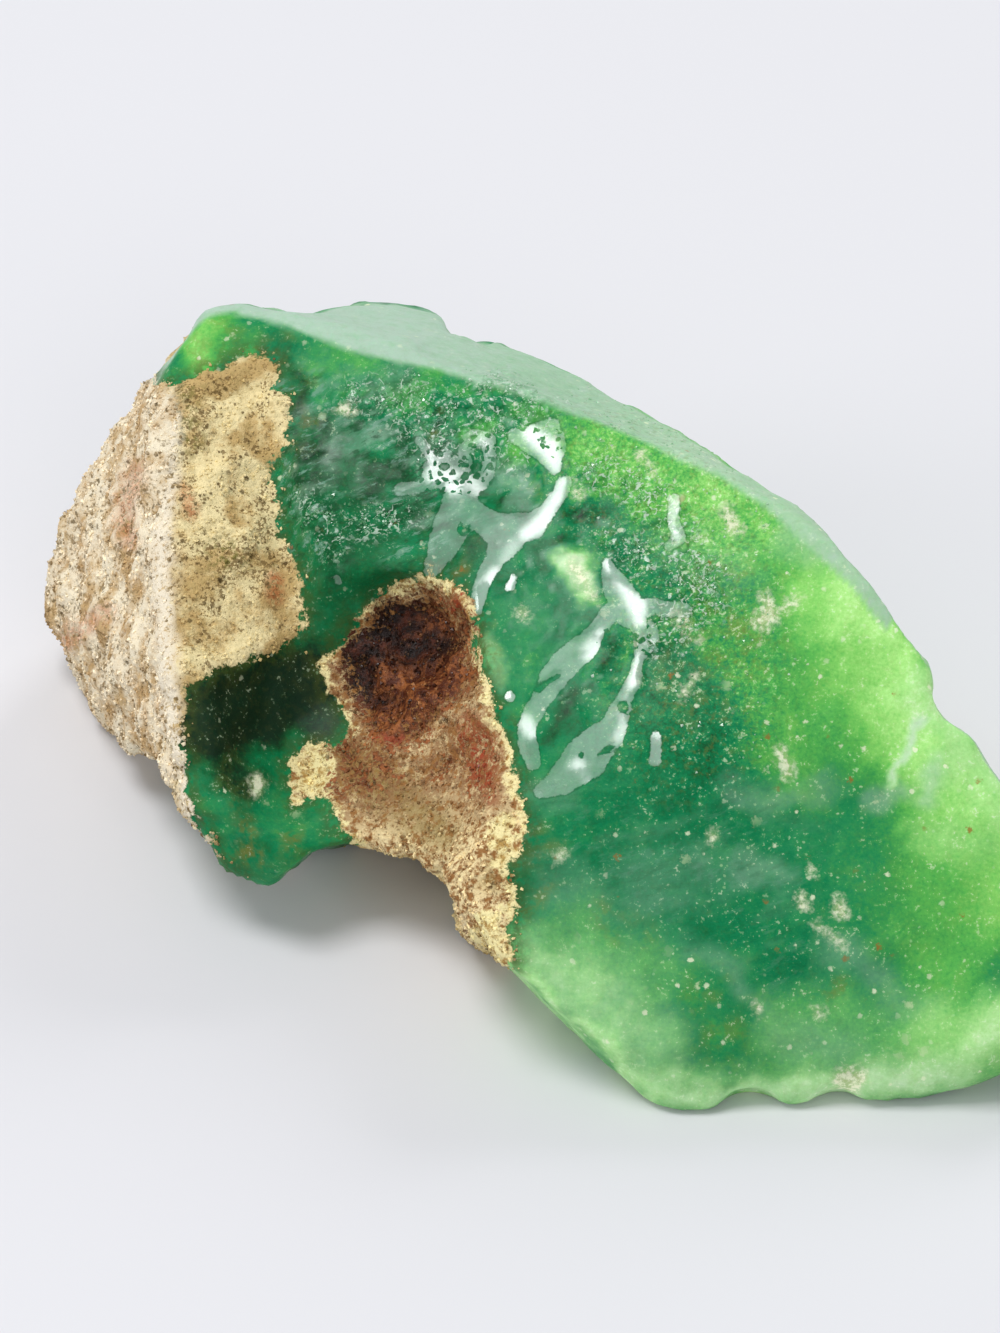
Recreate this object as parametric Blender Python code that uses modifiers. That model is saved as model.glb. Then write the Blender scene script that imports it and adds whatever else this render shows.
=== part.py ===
"""Raw chrysoprase: a palm-sized lump of translucent green stone with a weathered crust.

Metres, +Z up. The lump is laid out in millimetres, x to the right, y to the back and z up,
from the point where its front edge touches the surface. Its corners are grouped by the
edge they lie on, each group of corners makes a convex lobe, the lobes are joined, and
broad scoops cut the hollows that broke or weathered out of it. It is moved at the end, so
that the origin is the middle of the bottom of its box.
"""
from math import radians, tanh

import bmesh
import bpy
from mathutils import Euler, Matrix, Vector, noise

MM = 0.001
NAME = "chrysoprase"

BELOW = -2.0          # corners under the resting face, cut off flat at zero
GRAIN = 0.55          # voxel size of the joined lump
TRIANGLES = 11000     # faces left before the foot is cut flat
CRUST_LINE = -18.5    # the crust covers what lies left of this
POCKET = (-11.2, 26.0, 15.5)
POCKET_REACH = 6.5    # knobbly iron oxide within this of the pocket's middle

# Edges of the broken green body
RIDGE = [(-22.3, 49.2, 27.6), (-11.0, 45.4, 27.5), (-0.6, 39.7, 27.5), (9.8, 34.0, 26.5),
         (15.0, 30.0, 25.5), (18.2, 27.0, 24.4), (20.9, 24.0, 22.8), (22.2, 22.2, 21.0)]
SHOULDER = [(22.7, 19.4, 18.2), (25.1, 17.5, 16.8), (27.6, 15.1, 15.4), (30.0, 12.0, 12.0)]
RIGHT_END = [(33.4, 9.7, 8.0), (33.7, 7.7, 5.5), (31.4, 3.6, 5.4), (27.4, 1.6, 4.6)]
FRONT_EDGE = [(24.4, 1.3, 3.4), (22.0, 1.1, 0.6), (7.1, 1.0, 0.6), (3.0, 2.0, 4.8)]
LEFT_RIM = [(-0.1, 3.4, 6.2), (-4.1, 6.0, 8.8), (-6.6, 8.8, 11.2), (-7.0, 10.3, 11.9)]
VALLEY = [(-19.3, 49.9, 27.6), (-18.7, 42.4, 23.4), (-18.8, 34.9, 18.3), (-17.8, 30.0, 14.8)]
BACK_EDGE = [(-18.2, 55.1, 23.9), (-10.1, 59.4, 20.9), (-4.6, 54.3, 21.7),
             (2.1, 46.2, 23.6), (8.7, 39.7, 24.2), (15.1, 32.4, 24.5)]
BACK_BELLY = [(-14.3, 60.5, 10.0), (2.0, 52.0, 8.0), (15.0, 41.0, 8.0), (24.7, 28.5, 6.0),
              (31.5, 16.0, 5.0)]
BODY_FOOT = [(7.0, 1.6, BELOW), (21.8, 1.6, BELOW), (29.0, 8.0, BELOW), (27.0, 20.0, BELOW),
             (14.0, 37.0, BELOW), (0.0, 48.0, BELOW), (-14.0, 56.0, BELOW),
             (-7.5, 27.0, BELOW), (-16.0, 34.0, BELOW), (-17.0, 56.0, BELOW)]

# Edges of the crusted end
CRUST_TOP = [(-25.8, 48.1, 26.6), (-23.7, 51.0, 27.9), (-17.0, 55.0, 23.9)]
CRUST_OUTLINE = [(-24.9, 51.7, 26.0), (-27.6, 50.1, 22.5), (-31.4, 49.5, 17.1),
                 (-33.4, 48.4, 12.8), (-35.5, 47.0, 8.6), (-36.0, 45.8, 6.0)]
CRUST_CREASE = [(-27.3, 43.4, 25.2), (-27.5, 38.0, 22.7), (-26.9, 32.2, 19.2),
                (-26.1, 26.3, 16.2)]
CRUST_BACK = [(-13.0, 60.0, 12.0), (-24.0, 57.0, 10.0), (-30.0, 53.0, 7.0)]
CRUST_FOOT = [(-34.3, 45.3, 1.3), (-32.7, 41.5, -0.8), (-30.4, 35.7, 2.0),
              (-26.9, 25.7, 7.4), (-29.0, 51.0, BELOW), (-16.0, 57.0, BELOW),
              (-18.0, 36.0, BELOW)]

# The toe that hangs out under the crusted end, left of the arch
TOE = [(-25.6, 20.1, 9.8), (-22.6, 18.3, 4.9), (-20.2, 18.2, 3.8), (-14.7, 19.7, 6.9),
       (-11.1, 18.3, 7.3), (-8.7, 14.5, 9.8), (-7.0, 10.0, 11.9), (-26.0, 26.1, 16.2),
       (-26.9, 25.7, 7.4), (-15.0, 31.0, 15.0), (-8.0, 24.0, 16.0), (-21.0, 36.0, BELOW),
       (-9.0, 30.0, BELOW)]

# Hollows: centre, radii, turn in degrees
SCOOPS = {
    "arch": ((-12.9, 16.9, 4.1), (6.2, 4.1, 17.0), (50, 0, 0)),
    "broken_hollow": ((-14.6, 14.6, 18.8), (10.4, 12.0, 11.6), (0, 0, 0)),
    "green_recess": ((-17.4, 20.5, 19.4), (7.4, 11.0, 11.0), (0, 0, -12)),
    "pocket_top": ((-11.2, 27.4, 18.6), (4.2, 4.0, 4.4), (30, 0, 20)),
    "pocket_left": ((-13.2, 24.6, 16.8), (3.2, 3.6, 4.0), (20, 0, 0)),
    "pocket_right": ((-8.6, 24.2, 18.4), (3.0, 4.4, 3.0), (35, 0, 10)),
    "back_notch": ((-6.4, 55.4, 22.1), (2.4, 1.7, 12.0), (50, 0, 0)),
    "back_scar": ((5.5, 53.6, 16.5), (13.0, 8.6, 9.0), (0, 20, -40)),
    "side_scar": ((25.6, 35.2, 12.5), (8.5, 7.0, 8.5), (0, 0, -25)),
    "back_chip": ((-19.5, 62.5, 17.5), (8.0, 6.4, 6.0), (0, 25, 15)),
    "low_chip": ((-7.0, 60.5, 4.0), (9.0, 6.0, 5.0), (0, -10, -30)),
    "front_hollow": ((13.5, -3.0, 6.6), (8.5, 5.9, 4.9), (0, 4, 0)),
    "ripple": ((-12.0, 34.0, 25.2), (11.0, 3.4, 2.3), (30, -6, 12)),
    "shoulder_bite": ((26.1, 22.6, 17.5), (3.1, 3.1, 14.0), (50, 0, 0)),
    "vein": ((21.4, 15.2, 17.6), (0.9, 5.0, 1.6), (30, 0, -30)),
    "front_nick": ((11.3, -0.2, -0.9), (2.9, 3.2, 3.0), (0, 0, 0)),
    "front_chip": ((17.0, -0.2, -0.9), (2.5, 3.2, 2.8), (0, 0, 0)),
}

SOFT = 4              # smoothing passes that take the voxel steps off


def link(name: str, bm: bmesh.types.BMesh, collection: bpy.types.Collection):
    """Make an object of a bmesh and put it in a collection."""
    mesh = bpy.data.meshes.new(name)
    bm.to_mesh(mesh)
    bm.free()
    ob = bpy.data.objects.new(name, mesh)
    collection.objects.link(ob)
    return ob


def lobe(name: str, groups: list, collection: bpy.types.Collection):
    """Stretch a convex skin over the corners of a lobe."""
    bm = bmesh.new()
    for group in groups:
        for corner in group:
            bm.verts.new(Vector(corner) * MM)
    skin = bmesh.ops.convex_hull(bm, input=bm.verts)
    inner = [v for v in skin["geom_interior"] if isinstance(v, bmesh.types.BMVert)]
    bmesh.ops.delete(bm, geom=inner, context="VERTS")
    bmesh.ops.recalc_face_normals(bm, faces=bm.faces)
    return link(name, bm, collection)


def scoop(name: str, centre: tuple, radii: tuple, turn: tuple, collection):
    """Make the ellipsoid that a hollow is cut with."""
    bm = bmesh.new()
    angles = Euler([radians(a) for a in turn])
    size = Matrix.Diagonal([r * MM for r in radii]).to_4x4()
    place = Matrix.Translation(Vector(centre) * MM) @ angles.to_matrix().to_4x4() @ size
    bmesh.ops.create_icosphere(bm, subdivisions=4, radius=1.0, matrix=place)
    return link(name, bm, collection)


def combine(ob, tool, operation: str):
    """Join a lobe to the stone, or cut a hollow out of it."""
    mod = ob.modifiers.new(tool.name, "BOOLEAN")
    mod.object = tool
    mod.operation = operation
    mod.solver = "EXACT"
    tool.hide_render = True
    tool.display_type = "WIRE"


def settled(ob):
    """Give the object the mesh that its modifiers make, and drop them."""
    bpy.context.view_layer.update()
    graph = bpy.context.evaluated_depsgraph_get()
    mesh = bpy.data.meshes.new_from_object(ob.evaluated_get(graph))
    ob.modifiers.clear()
    ob.data = mesh
    mesh.name = ob.name


def share(distance: float, width: float) -> float:
    """Ease from 0 to 1 as a distance goes from nought to a width."""
    t = min(max(distance / width, 0.0), 1.0)
    return t * t * (3.0 - 2.0 * t)


def relief(p: Vector, normal: Vector) -> float:
    """Height in millimetres of the lumps at a point given in millimetres."""
    broad = noise.noise(p / 14.0) * 0.6
    ledge = tanh(5.0 * noise.noise(p / 7.5 + Vector((7.0, 1.0, 3.0)))) * 0.2
    small = noise.noise(p / 2.8 + Vector((2.0, 9.0, 5.0))) * 0.2
    crust = share(CRUST_LINE - p.x, 2.5)
    lumps = 0.45 - noise.voronoi(p / 3.4)[0][0]
    pocket = share(POCKET_REACH - (p - Vector(POCKET)).length, 2.0)
    knobs = 0.45 - noise.voronoi(p / 1.9)[0][0]
    away = share(normal.y - 0.5, 0.35) * (1.0 - crust)
    steps = tanh(6.0 * noise.noise(p / 9.0 + Vector((4.0, 4.0, 8.0)))) * 0.45
    return (broad + ledge + small + away * steps + crust * lumps * 0.8
            + pocket * knobs * 0.9)


def roughen(ob):
    """Raise the lumps along the normals."""
    mesh = ob.data
    moved = []
    for v in mesh.vertices:
        height = relief(v.co / MM, v.normal)
        moved.append(v.co + v.normal * height * MM)
    for v, co in zip(mesh.vertices, moved):
        v.co = co


def thin_out(ob, count: int):
    """Collapse edges until about that many triangles are left."""
    mod = ob.modifiers.new("thin", "DECIMATE")
    mod.ratio = count / (2.0 * len(ob.data.polygons))
    mod.use_collapse_triangulate = True


def floor_box(collection):
    """A box whose top is the resting face's plane."""
    bm = bmesh.new()
    place = Matrix.Translation((0.0, 0.03, -0.02)) @ Matrix.Diagonal((0.2, 0.2, 0.04, 1.0))
    bmesh.ops.create_cube(bm, size=1.0, matrix=place)
    return link("resting_plane", bm, collection)


def stone_material():
    """Wet green chalcedony."""
    mat = bpy.data.materials.new("chrysoprase_green")
    mat.use_nodes = True
    shader = mat.node_tree.nodes["Principled BSDF"]
    shader.inputs["Base Color"].default_value = (0.05, 0.42, 0.17, 1.0)
    shader.inputs["Roughness"].default_value = 0.25
    shader.inputs["Metallic"].default_value = 0.0
    return mat


def to_origin(ob):
    """Put the middle of the bottom of the box at the origin."""
    corners = [v.co for v in ob.data.vertices]
    low = Vector([min(c[i] for c in corners) for i in range(3)])
    high = Vector([max(c[i] for c in corners) for i in range(3)])
    shift = Vector(((low.x + high.x) / 2.0, (low.y + high.y) / 2.0, low.z))
    ob.data.transform(Matrix.Translation(-shift))
    return shift


def build():
    """Model the stone."""
    for ob in list(bpy.data.objects):
        bpy.data.objects.remove(ob, do_unlink=True)
    part = bpy.data.collections.new(NAME)
    tools = bpy.data.collections.new("lobes_and_scoops")
    bpy.context.scene.collection.children.link(part)
    bpy.context.scene.collection.children.link(tools)

    stone = lobe(NAME, [RIDGE, SHOULDER, RIGHT_END, FRONT_EDGE, LEFT_RIM, VALLEY,
                        BACK_EDGE, BACK_BELLY, BODY_FOOT], part)
    crusted = lobe("crusted_end", [CRUST_TOP, CRUST_OUTLINE, CRUST_CREASE, VALLEY,
                                   CRUST_BACK, CRUST_FOOT], tools)
    toe = lobe("toe", [TOE], tools)
    combine(stone, crusted, "UNION")
    combine(stone, toe, "UNION")
    for name, (centre, radii, turn) in SCOOPS.items():
        combine(stone, scoop(name, centre, radii, turn, tools), "DIFFERENCE")
    voxels = stone.modifiers.new("grain", "REMESH")
    voxels.mode = "VOXEL"
    voxels.voxel_size = GRAIN * MM
    soft = stone.modifiers.new("soft", "SMOOTH")
    soft.factor = 0.5
    soft.iterations = SOFT
    settled(stone)
    roughen(stone)
    thin_out(stone, TRIANGLES)
    settled(stone)
    combine(stone, floor_box(tools), "DIFFERENCE")
    settled(stone)
    shift = to_origin(stone)
    stone.data.materials.clear()
    stone.data.materials.append(stone_material())
    return shift


moved_by = build()
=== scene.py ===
"""A lump of raw chrysoprase: green broken faces, a sandy weathered rind and an iron-stained hollow.

The stone is one closed skin. It starts as a square folded over an octahedron, is
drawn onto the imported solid, evened out, and then given its relief in numpy.
"""

import logging
import math
from collections.abc import Mapping, Sequence
from dataclasses import dataclass, field
from enum import Enum
from itertools import product

import bpy
import numpy as np
from mathutils import Matrix, Vector


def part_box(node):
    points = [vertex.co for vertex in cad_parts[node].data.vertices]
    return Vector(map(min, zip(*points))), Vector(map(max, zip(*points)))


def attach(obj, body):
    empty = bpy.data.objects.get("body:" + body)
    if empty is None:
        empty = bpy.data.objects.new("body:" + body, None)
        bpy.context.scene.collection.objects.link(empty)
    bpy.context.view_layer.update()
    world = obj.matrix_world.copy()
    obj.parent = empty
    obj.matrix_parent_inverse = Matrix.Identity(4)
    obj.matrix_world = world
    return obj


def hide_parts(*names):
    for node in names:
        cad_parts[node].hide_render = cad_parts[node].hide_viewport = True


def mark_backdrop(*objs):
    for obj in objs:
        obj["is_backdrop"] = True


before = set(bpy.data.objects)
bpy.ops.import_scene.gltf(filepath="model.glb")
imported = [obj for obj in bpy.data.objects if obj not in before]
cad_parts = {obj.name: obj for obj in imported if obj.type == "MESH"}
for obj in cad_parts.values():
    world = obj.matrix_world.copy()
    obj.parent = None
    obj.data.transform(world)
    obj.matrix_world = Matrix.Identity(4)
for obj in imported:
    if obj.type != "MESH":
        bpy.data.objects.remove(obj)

log = logging.getLogger("chrysoprase")

MM = 0.001
NODE = "chrysoprase"
BODY = "root"

Array = np.ndarray
Triple = tuple[float, float, float]


# ---------------------------------------------------------------- small sums


def ease(value: Array, low: float, high: float) -> Array:
    """Rises from 0 at low to 1 at high along 3t^2 - 2t^3; low may be the larger.

    Args:
        value: what is measured.
        low: where the rise begins.
        high: where it ends.

    Returns:
        Numbers from 0 to 1, in value's shape.
    """
    t = np.clip((value - low) / (high - low), 0.0, 1.0)
    return t * t * (3.0 - 2.0 * t)


def linear(red: float, green: float, blue: float) -> Triple:
    """Turns a colour as a screen shows it, 0 to 255, into linear light, 0 to 1."""
    parts = (c / 255.0 for c in (red, green, blue))
    return tuple(c / 12.92 if c < 0.04045 else ((c + 0.055) / 1.055) ** 2.4 for c in parts)


def chance(cell: Array, seed: int) -> Array:
    """Even numbers from 0 to 1, one for each cell of whole numbers.

    The three numbers are multiplied by odd constants and mixed by shifts.

    Args:
        cell: whole numbers, last axis 3.
        seed: picks another set.

    Returns:
        One number for each cell.
    """
    i, j, k = (cell[..., axis].astype(np.int64).astype(np.uint32) for axis in range(3))
    start = np.uint32((seed * 0x9E3779B1 + 0x7F4A7C15) & 0xFFFFFFFF)
    h = i * np.uint32(0x8DA6B343) ^ j * np.uint32(0xD8163841) ^ k * np.uint32(0xCB1AB31F) ^ start
    h = (h ^ (h >> np.uint32(15))) * np.uint32(0x2C1B3C6D)
    h = (h ^ (h >> np.uint32(12))) * np.uint32(0x297A2D39)
    return (h ^ (h >> np.uint32(15))) / 4294967296.0


def swell(points: Array, size: float, seed: int) -> Array:
    """Smooth hills and hollows, about -1 to 1, each about size across.

    Each corner of the unit cell has a random slope. The slopes' heights at the
    point are blended with 6t^5 - 15t^4 + 10t^3.

    Args:
        points: places, last axis 3.
        size: the cell's side, in the points' unit.
        seed: picks another set.

    Returns:
        One height for each point.
    """
    q = points / size
    base = np.floor(q)
    f = q - base
    w = f * f * f * (f * (f * 6.0 - 15.0) + 10.0)
    total = np.zeros(points.shape[:-1])
    for corner in product((0.0, 1.0), repeat=3):
        slope = np.stack([chance(base + corner, seed + s) for s in (0, 101, 202)], -1) * 2.0 - 1.0
        share = np.prod(np.where(np.array(corner) > 0.5, w, 1.0 - w), -1)
        total += share * ((f - corner) * slope).sum(-1)
    return total * 1.5


def hills(points: Array, size: float, layers: int, seed: int) -> Array:
    """Sums swells, each layer half the size and half the height of the last."""
    return sum(swell(points, size / 2**n, seed + 17 * n) / 2**n for n in range(layers))


def bends(points: Array, size: float, layers: int, seeds: Sequence[int]) -> Array:
    """Returns one set of hills for each seed, side by side on a last axis."""
    return np.stack([hills(points, size, layers, seed) for seed in seeds], -1)


def crumbs(points: Array, size: float, seed: int) -> tuple[Array, Array]:
    """Finds the scattered site nearest to each point, with one site in each cell.

    Args:
        points: places, last axis 3.
        size: the cell's side.
        seed: picks another set.

    Returns:
        The distance to the nearest site, in cells, and its own random number.
    """
    q = points / size
    base = np.floor(q)
    least, number = np.full(points.shape[:-1], 9.0), np.zeros(points.shape[:-1])
    for step in product((-1.0, 0.0, 1.0), repeat=3):
        cell = base + step
        site = cell + np.stack([chance(cell, seed + s) for s in (3, 31, 313)], -1)
        gap = np.linalg.norm(site - q, axis=-1)
        number = np.where(gap < least, chance(cell, seed + 7), number)
        least = np.minimum(least, gap)
    return least, number


# ------------------------------------------------------- the chart of the front


@dataclass(frozen=True)
class Sight:
    """The line of sight on the stone's front, and the flat chart that it gives.

    A chart is 1000 wide and 1333 high, and one of its units is about 0.065 mm
    on the stone.
    """

    eye: Triple = (-3.627, -338.151, 296.570)  # mm
    aim: Triple = (-3.627, -6.281, 18.100)  # mm
    width: float = 1000.0
    height: float = 1333.0
    lens: float = 180.0  # mm
    sensor: float = 36.0  # mm, along the chart's height

    def axes(self) -> tuple[Array, Array, Array]:
        """Works out the chart's directions.

        Returns:
            The unit vectors to the right, up and forward.
        """
        forward = np.array(self.aim) - np.array(self.eye)
        forward /= np.linalg.norm(forward)
        right = np.cross(forward, (0.0, 0.0, 1.0))
        right /= np.linalg.norm(right)
        return right, np.cross(right, forward), forward

    def toward(self, normals: Array) -> Array:
        """Returns how far each normal leans to the eye, from -1 to 1."""
        return -(normals @ self.axes()[2])

    def spots(self, points: Array) -> Array:
        """Finds where points fall on the chart.

        A point's sideways and upward distance from the eye's axis is divided by
        its distance along the axis and multiplied by the chart's focal length.

        Args:
            points: places in mm, last axis 3.

        Returns:
            Chart places, last axis 2, from the upper left corner.
        """
        right, up, forward = self.axes()
        ray = points - np.array(self.eye)
        scale = self.lens / self.sensor * self.height / (ray @ forward)
        return np.stack([self.width / 2 + scale * (ray @ right), self.height / 2 - scale * (ray @ up)], -1)


@dataclass(frozen=True)
class Stroke:
    """A mark on the chart: a path with a reach at each point, and a soft edge.

    path holds x, y and reach. values are what the mark sets, by layer name.
    """

    path: tuple[Triple, ...]
    soft: float = 20.0
    values: Mapping[str, float] = field(default_factory=dict)

    def depth(self, spots: Array) -> Array:
        """Measures how far inside the mark each spot is.

        The reach less the distance to the nearest place on the path, the reach
        running evenly from one point to the next.

        Args:
            spots: chart places.

        Returns:
            Depths in chart units, under 0 outside.
        """
        ends = self.path if len(self.path) > 1 else self.path * 2
        best = np.full(spots.shape[:-1], -1e9)
        for (ax, ay, ar), (bx, by, br) in zip(ends, ends[1:]):
            way = np.array((bx - ax, by - ay))
            t = np.clip(((spots - (ax, ay)) @ way) / max(way @ way, 1e-9), 0.0, 1.0)
            gap = np.linalg.norm(spots - (ax, ay) - t[..., None] * way, axis=-1)
            best = np.maximum(best, ar + t * (br - ar) - gap)
        return best

    def share(self, spots: Array) -> Array:
        """Returns 1 inside the mark, falling to 0 over its soft edge."""
        return ease(self.depth(spots), -self.soft, self.soft * 0.5)


def mark(*path: Triple, soft: float = 20.0, **values: float) -> Stroke:
    """Makes a stroke that sets layers, each given by its name."""
    return Stroke(path, soft, values)


def strokes(*paths: tuple) -> tuple[Stroke, ...]:
    """Makes strokes that only have a place. A path of one point is that point alone."""
    return tuple(Stroke(path if isinstance(path[0], tuple) else (path,)) for path in paths)


def deepest(marks: Sequence[Stroke], spots: Array) -> Array:
    """Returns how far inside the nearest of some marks each spot is."""
    return np.max([each.depth(spots) for each in marks], axis=0)


def outline_depth(corners: Sequence[tuple[float, float]], spots: Array) -> Array:
    """Measures how far inside a closed outline each spot is.

    The least distance to its sides, with the sign from whether a line to the
    right crosses an odd number of them.

    Args:
        corners: the outline, in order.
        spots: chart places.

    Returns:
        Depths in chart units, under 0 outside.
    """
    least = np.full(spots.shape[:-1], 1e9)
    inside = np.zeros(spots.shape[:-1], bool)
    x, y = spots[..., 0], spots[..., 1]
    for (ax, ay), (bx, by) in zip(corners, (*corners[1:], corners[0])):
        way = np.array((bx - ax, by - ay))
        t = np.clip(((spots - (ax, ay)) @ way) / (way @ way), 0.0, 1.0)
        least = np.minimum(least, np.linalg.norm(spots - (ax, ay) - t[..., None] * way, axis=-1))
        if ay != by:
            inside ^= ((ay > y) != (by > y)) & (x < (bx - ax) * (y - ay) / (by - ay) + ax)
    return np.where(inside, least, -least)


# ----------------------------------------------------------- the folded square


def put(name: str, data: bpy.types.ID) -> bpy.types.Object:
    """Makes an object at the origin and links it to the scene.

    Args:
        name: its name.
        data: its mesh, light or camera.

    Returns:
        The object.
    """
    made = bpy.data.objects.new(name, data)
    bpy.context.scene.collection.objects.link(made)
    return made


def write_layer(mesh: bpy.types.Mesh, name: str, values: Array) -> None:
    """Writes one number for each point of a mesh, under a layer's name."""
    numbers = mesh.attributes.new(name, "FLOAT", "POINT")
    numbers.data.foreach_set("value", values.astype(np.float32))


@dataclass
class FoldedSquare:
    """A square of points that closes over an octahedron, so that it has no seam.

    The square's middle faces the viewer, and its four corners meet behind.
    """

    count: int
    points: Array

    @classmethod
    def around(cls, count: int, middle: Array, half: Array, sight: Sight) -> "FoldedSquare":
        """Starts a square on an ellipsoid.

        With u and v from -1 to 1 and w = 1 - |u| - |v|, a point with w under 0
        is turned over the square's slanted edge: (u, v) becomes
        (1 - |v|, 1 - |u|) with their own signs. (u, v, w) made one long is the
        direction.

        Args:
            count: points along a side, odd.
            middle: the ellipsoid's middle.
            half: its half sizes.
            sight: gives the direction that the middle faces.

        Returns:
            The square.
        """
        t = np.linspace(-1.0, 1.0, count)
        u, v = np.meshgrid(t, t)
        w = 1.0 - np.abs(u) - np.abs(v)
        x = np.where(w < 0, (1.0 - np.abs(v)) * np.where(u < 0, -1.0, 1.0), u)
        y = np.where(w < 0, (1.0 - np.abs(u)) * np.where(v < 0, -1.0, 1.0), v)
        way = np.stack([x, y, w], -1)
        way /= np.linalg.norm(way, axis=-1, keepdims=True)
        right, up, forward = sight.axes()
        turned = way[..., :1] * right + way[..., 1:2] * up - way[..., 2:] * forward
        return cls(count, middle + turned * half)

    def framed(self, values: Array) -> Array:
        """Adds a ring of neighbours, each edge folded at its middle onto itself.

        Args:
            values: one or more numbers for each point of the square.

        Returns:
            The values, two rows and two columns more.
        """
        n = self.count
        ring = np.zeros((n + 2, n + 2) + values.shape[2:])
        ring[1:-1, 1:-1] = values
        ring[0, 1:-1], ring[-1, 1:-1] = values[1, ::-1], values[-2, ::-1]
        ring[1:-1, 0], ring[1:-1, -1] = values[::-1, 1], values[::-1, -2]
        return ring

    def even(self, values: Array) -> Array:
        """Takes the mean of each point's four neighbours, across the folds too.

        Args:
            values: one or more numbers for each point of the square.

        Returns:
            The means.
        """
        ring = self.framed(values)
        mean = (ring[:-2, 1:-1] + ring[2:, 1:-1] + ring[1:-1, :-2] + ring[1:-1, 2:]) / 4.0
        corner = (values[1, 0] + values[0, 1] + values[1, -1] + values[-1, 1]) / 4.0
        mean[0, 0] = mean[0, -1] = mean[-1, 0] = mean[-1, -1] = corner
        return mean

    def evened(self, values: Array, rounds: int) -> Array:
        """Evens values some times over.

        Args:
            values: one or more numbers for each point of the square.
            rounds: how often.

        Returns:
            The evened values.
        """
        for _ in range(rounds):
            values = self.even(values)
        return values

    def finer(self) -> "FoldedSquare":
        """Adds a point between each two.

        Returns:
            The finer square.
        """
        p, n = self.points, 2 * self.count - 1
        q = np.zeros((n, n, 3))
        q[::2, ::2] = p
        q[1::2, ::2] = (p[:-1] + p[1:]) / 2.0
        q[::2, 1::2] = (p[:, :-1] + p[:, 1:]) / 2.0
        q[1::2, 1::2] = (p[:-1, :-1] + p[1:, :-1] + p[:-1, 1:] + p[1:, 1:]) / 4.0
        return FoldedSquare(n, q)

    def normals(self) -> Array:
        """Works out the way out at each point: across its four neighbours, u times v.

        Returns:
            Unit normals.
        """
        ring = self.framed(self.points)
        n = np.cross(ring[1:-1, 2:] - ring[1:-1, :-2], ring[2:, 1:-1] - ring[:-2, 1:-1])
        n /= np.maximum(np.linalg.norm(n, axis=-1, keepdims=True), 1e-12)
        mean = n[0, 0] + n[0, -1] + n[-1, 0] + n[-1, -1]
        n[0, 0] = n[0, -1] = n[-1, 0] = n[-1, -1] = mean / max(np.linalg.norm(mean), 1e-12)
        return n

    def joined(self) -> tuple[Array, Array]:
        """Joins the points that the folds bring together.

        Returns:
            The kept points' places in the square's flat order, and for each
            point of the square the kept point that stands for it.
        """
        n = self.count
        same = np.arange(n * n).reshape(n, n)
        for edge in (same[0], same[-1], same[:, 0], same[:, -1]):
            edge[:] = np.minimum(edge, edge[::-1].copy())
        same[0, 0] = same[0, -1] = same[-1, 0] = same[-1, -1] = 0
        kept, stands = np.unique(same, return_inverse=True)
        return kept, stands.reshape(n, n)

    def scattered(self, count: int, share: Array, luck: np.random.Generator) -> "Scatter":
        """Picks places at random, crowded in step with share and evenly to the area.

        Args:
            count: how many.
            share: how crowded, for each point of the square.
            luck: the random numbers.

        Returns:
            The places.
        """
        p = self.points
        area = np.linalg.norm(np.cross(p[1:, :-1] - p[:-1, :-1], p[:-1, 1:] - p[:-1, :-1]), axis=-1)
        weight = (area * share[:-1, :-1]).ravel()
        cells = luck.choice(weight.size, count, p=weight / weight.sum())
        rows, columns = np.divmod(cells, self.count - 1)
        down, across = luck.random((2, count))
        return Scatter(rows, columns, down, across)

    def mesh(self, name: str) -> bpy.types.Mesh:
        """Puts the square into a new mesh, in metres.

        Args:
            name: the mesh's name.

        Returns:
            A closed mesh.
        """
        kept, stands = self.joined()
        corners = (stands[:-1, :-1], stands[:-1, 1:], stands[1:, 1:], stands[1:, :-1])
        quads = np.stack(corners, -1).reshape(-1, 4)
        mesh = bpy.data.meshes.new(name)
        mesh.from_pydata((self.points.reshape(-1, 3)[kept] * MM).tolist(), [], quads.tolist())
        mesh.polygons.foreach_set("use_smooth", np.ones(len(quads), bool))
        return mesh

    def drawn_onto(self, solid: bpy.types.Object) -> None:
        """Moves every point to the nearest place on a solid.

        Args:
            solid: the object to lie on.
        """
        kept, stands = self.joined()
        mesh = self.mesh("draft")
        draft = put("draft", mesh)
        wrap = draft.modifiers.new("lay", "SHRINKWRAP")
        wrap.target, wrap.wrap_method = solid, "NEAREST_SURFACEPOINT"
        bpy.context.view_layer.update()
        laid = draft.evaluated_get(bpy.context.evaluated_depsgraph_get()).data
        flat = np.zeros(len(kept) * 3, np.float32)
        laid.vertices.foreach_get("co", flat)
        self.points = (flat.reshape(-1, 3).astype(float) / MM)[stands]
        bpy.data.objects.remove(draft)
        bpy.data.meshes.remove(mesh)


@dataclass(frozen=True)
class Scatter:
    """Places picked on a folded square: a cell's row and column, and how far across it."""

    rows: Array
    columns: Array
    down: Array
    across: Array

    def take(self, values: Array) -> Array:
        """Blends a value from each place's four corners, by how near each one is.

        Args:
            values: one or more numbers for each point of the square.

        Returns:
            The same for each place.
        """
        total = 0.0
        for row, column in product((0, 1), repeat=2):
            near = (self.down if row else 1.0 - self.down) * (self.across if column else 1.0 - self.across)
            picked = values[self.rows + row, self.columns + column]
            total = total + near.reshape(near.shape + (1,) * (picked.ndim - 1)) * picked
        return total


# ------------------------------------------------------------------- shaders


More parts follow.
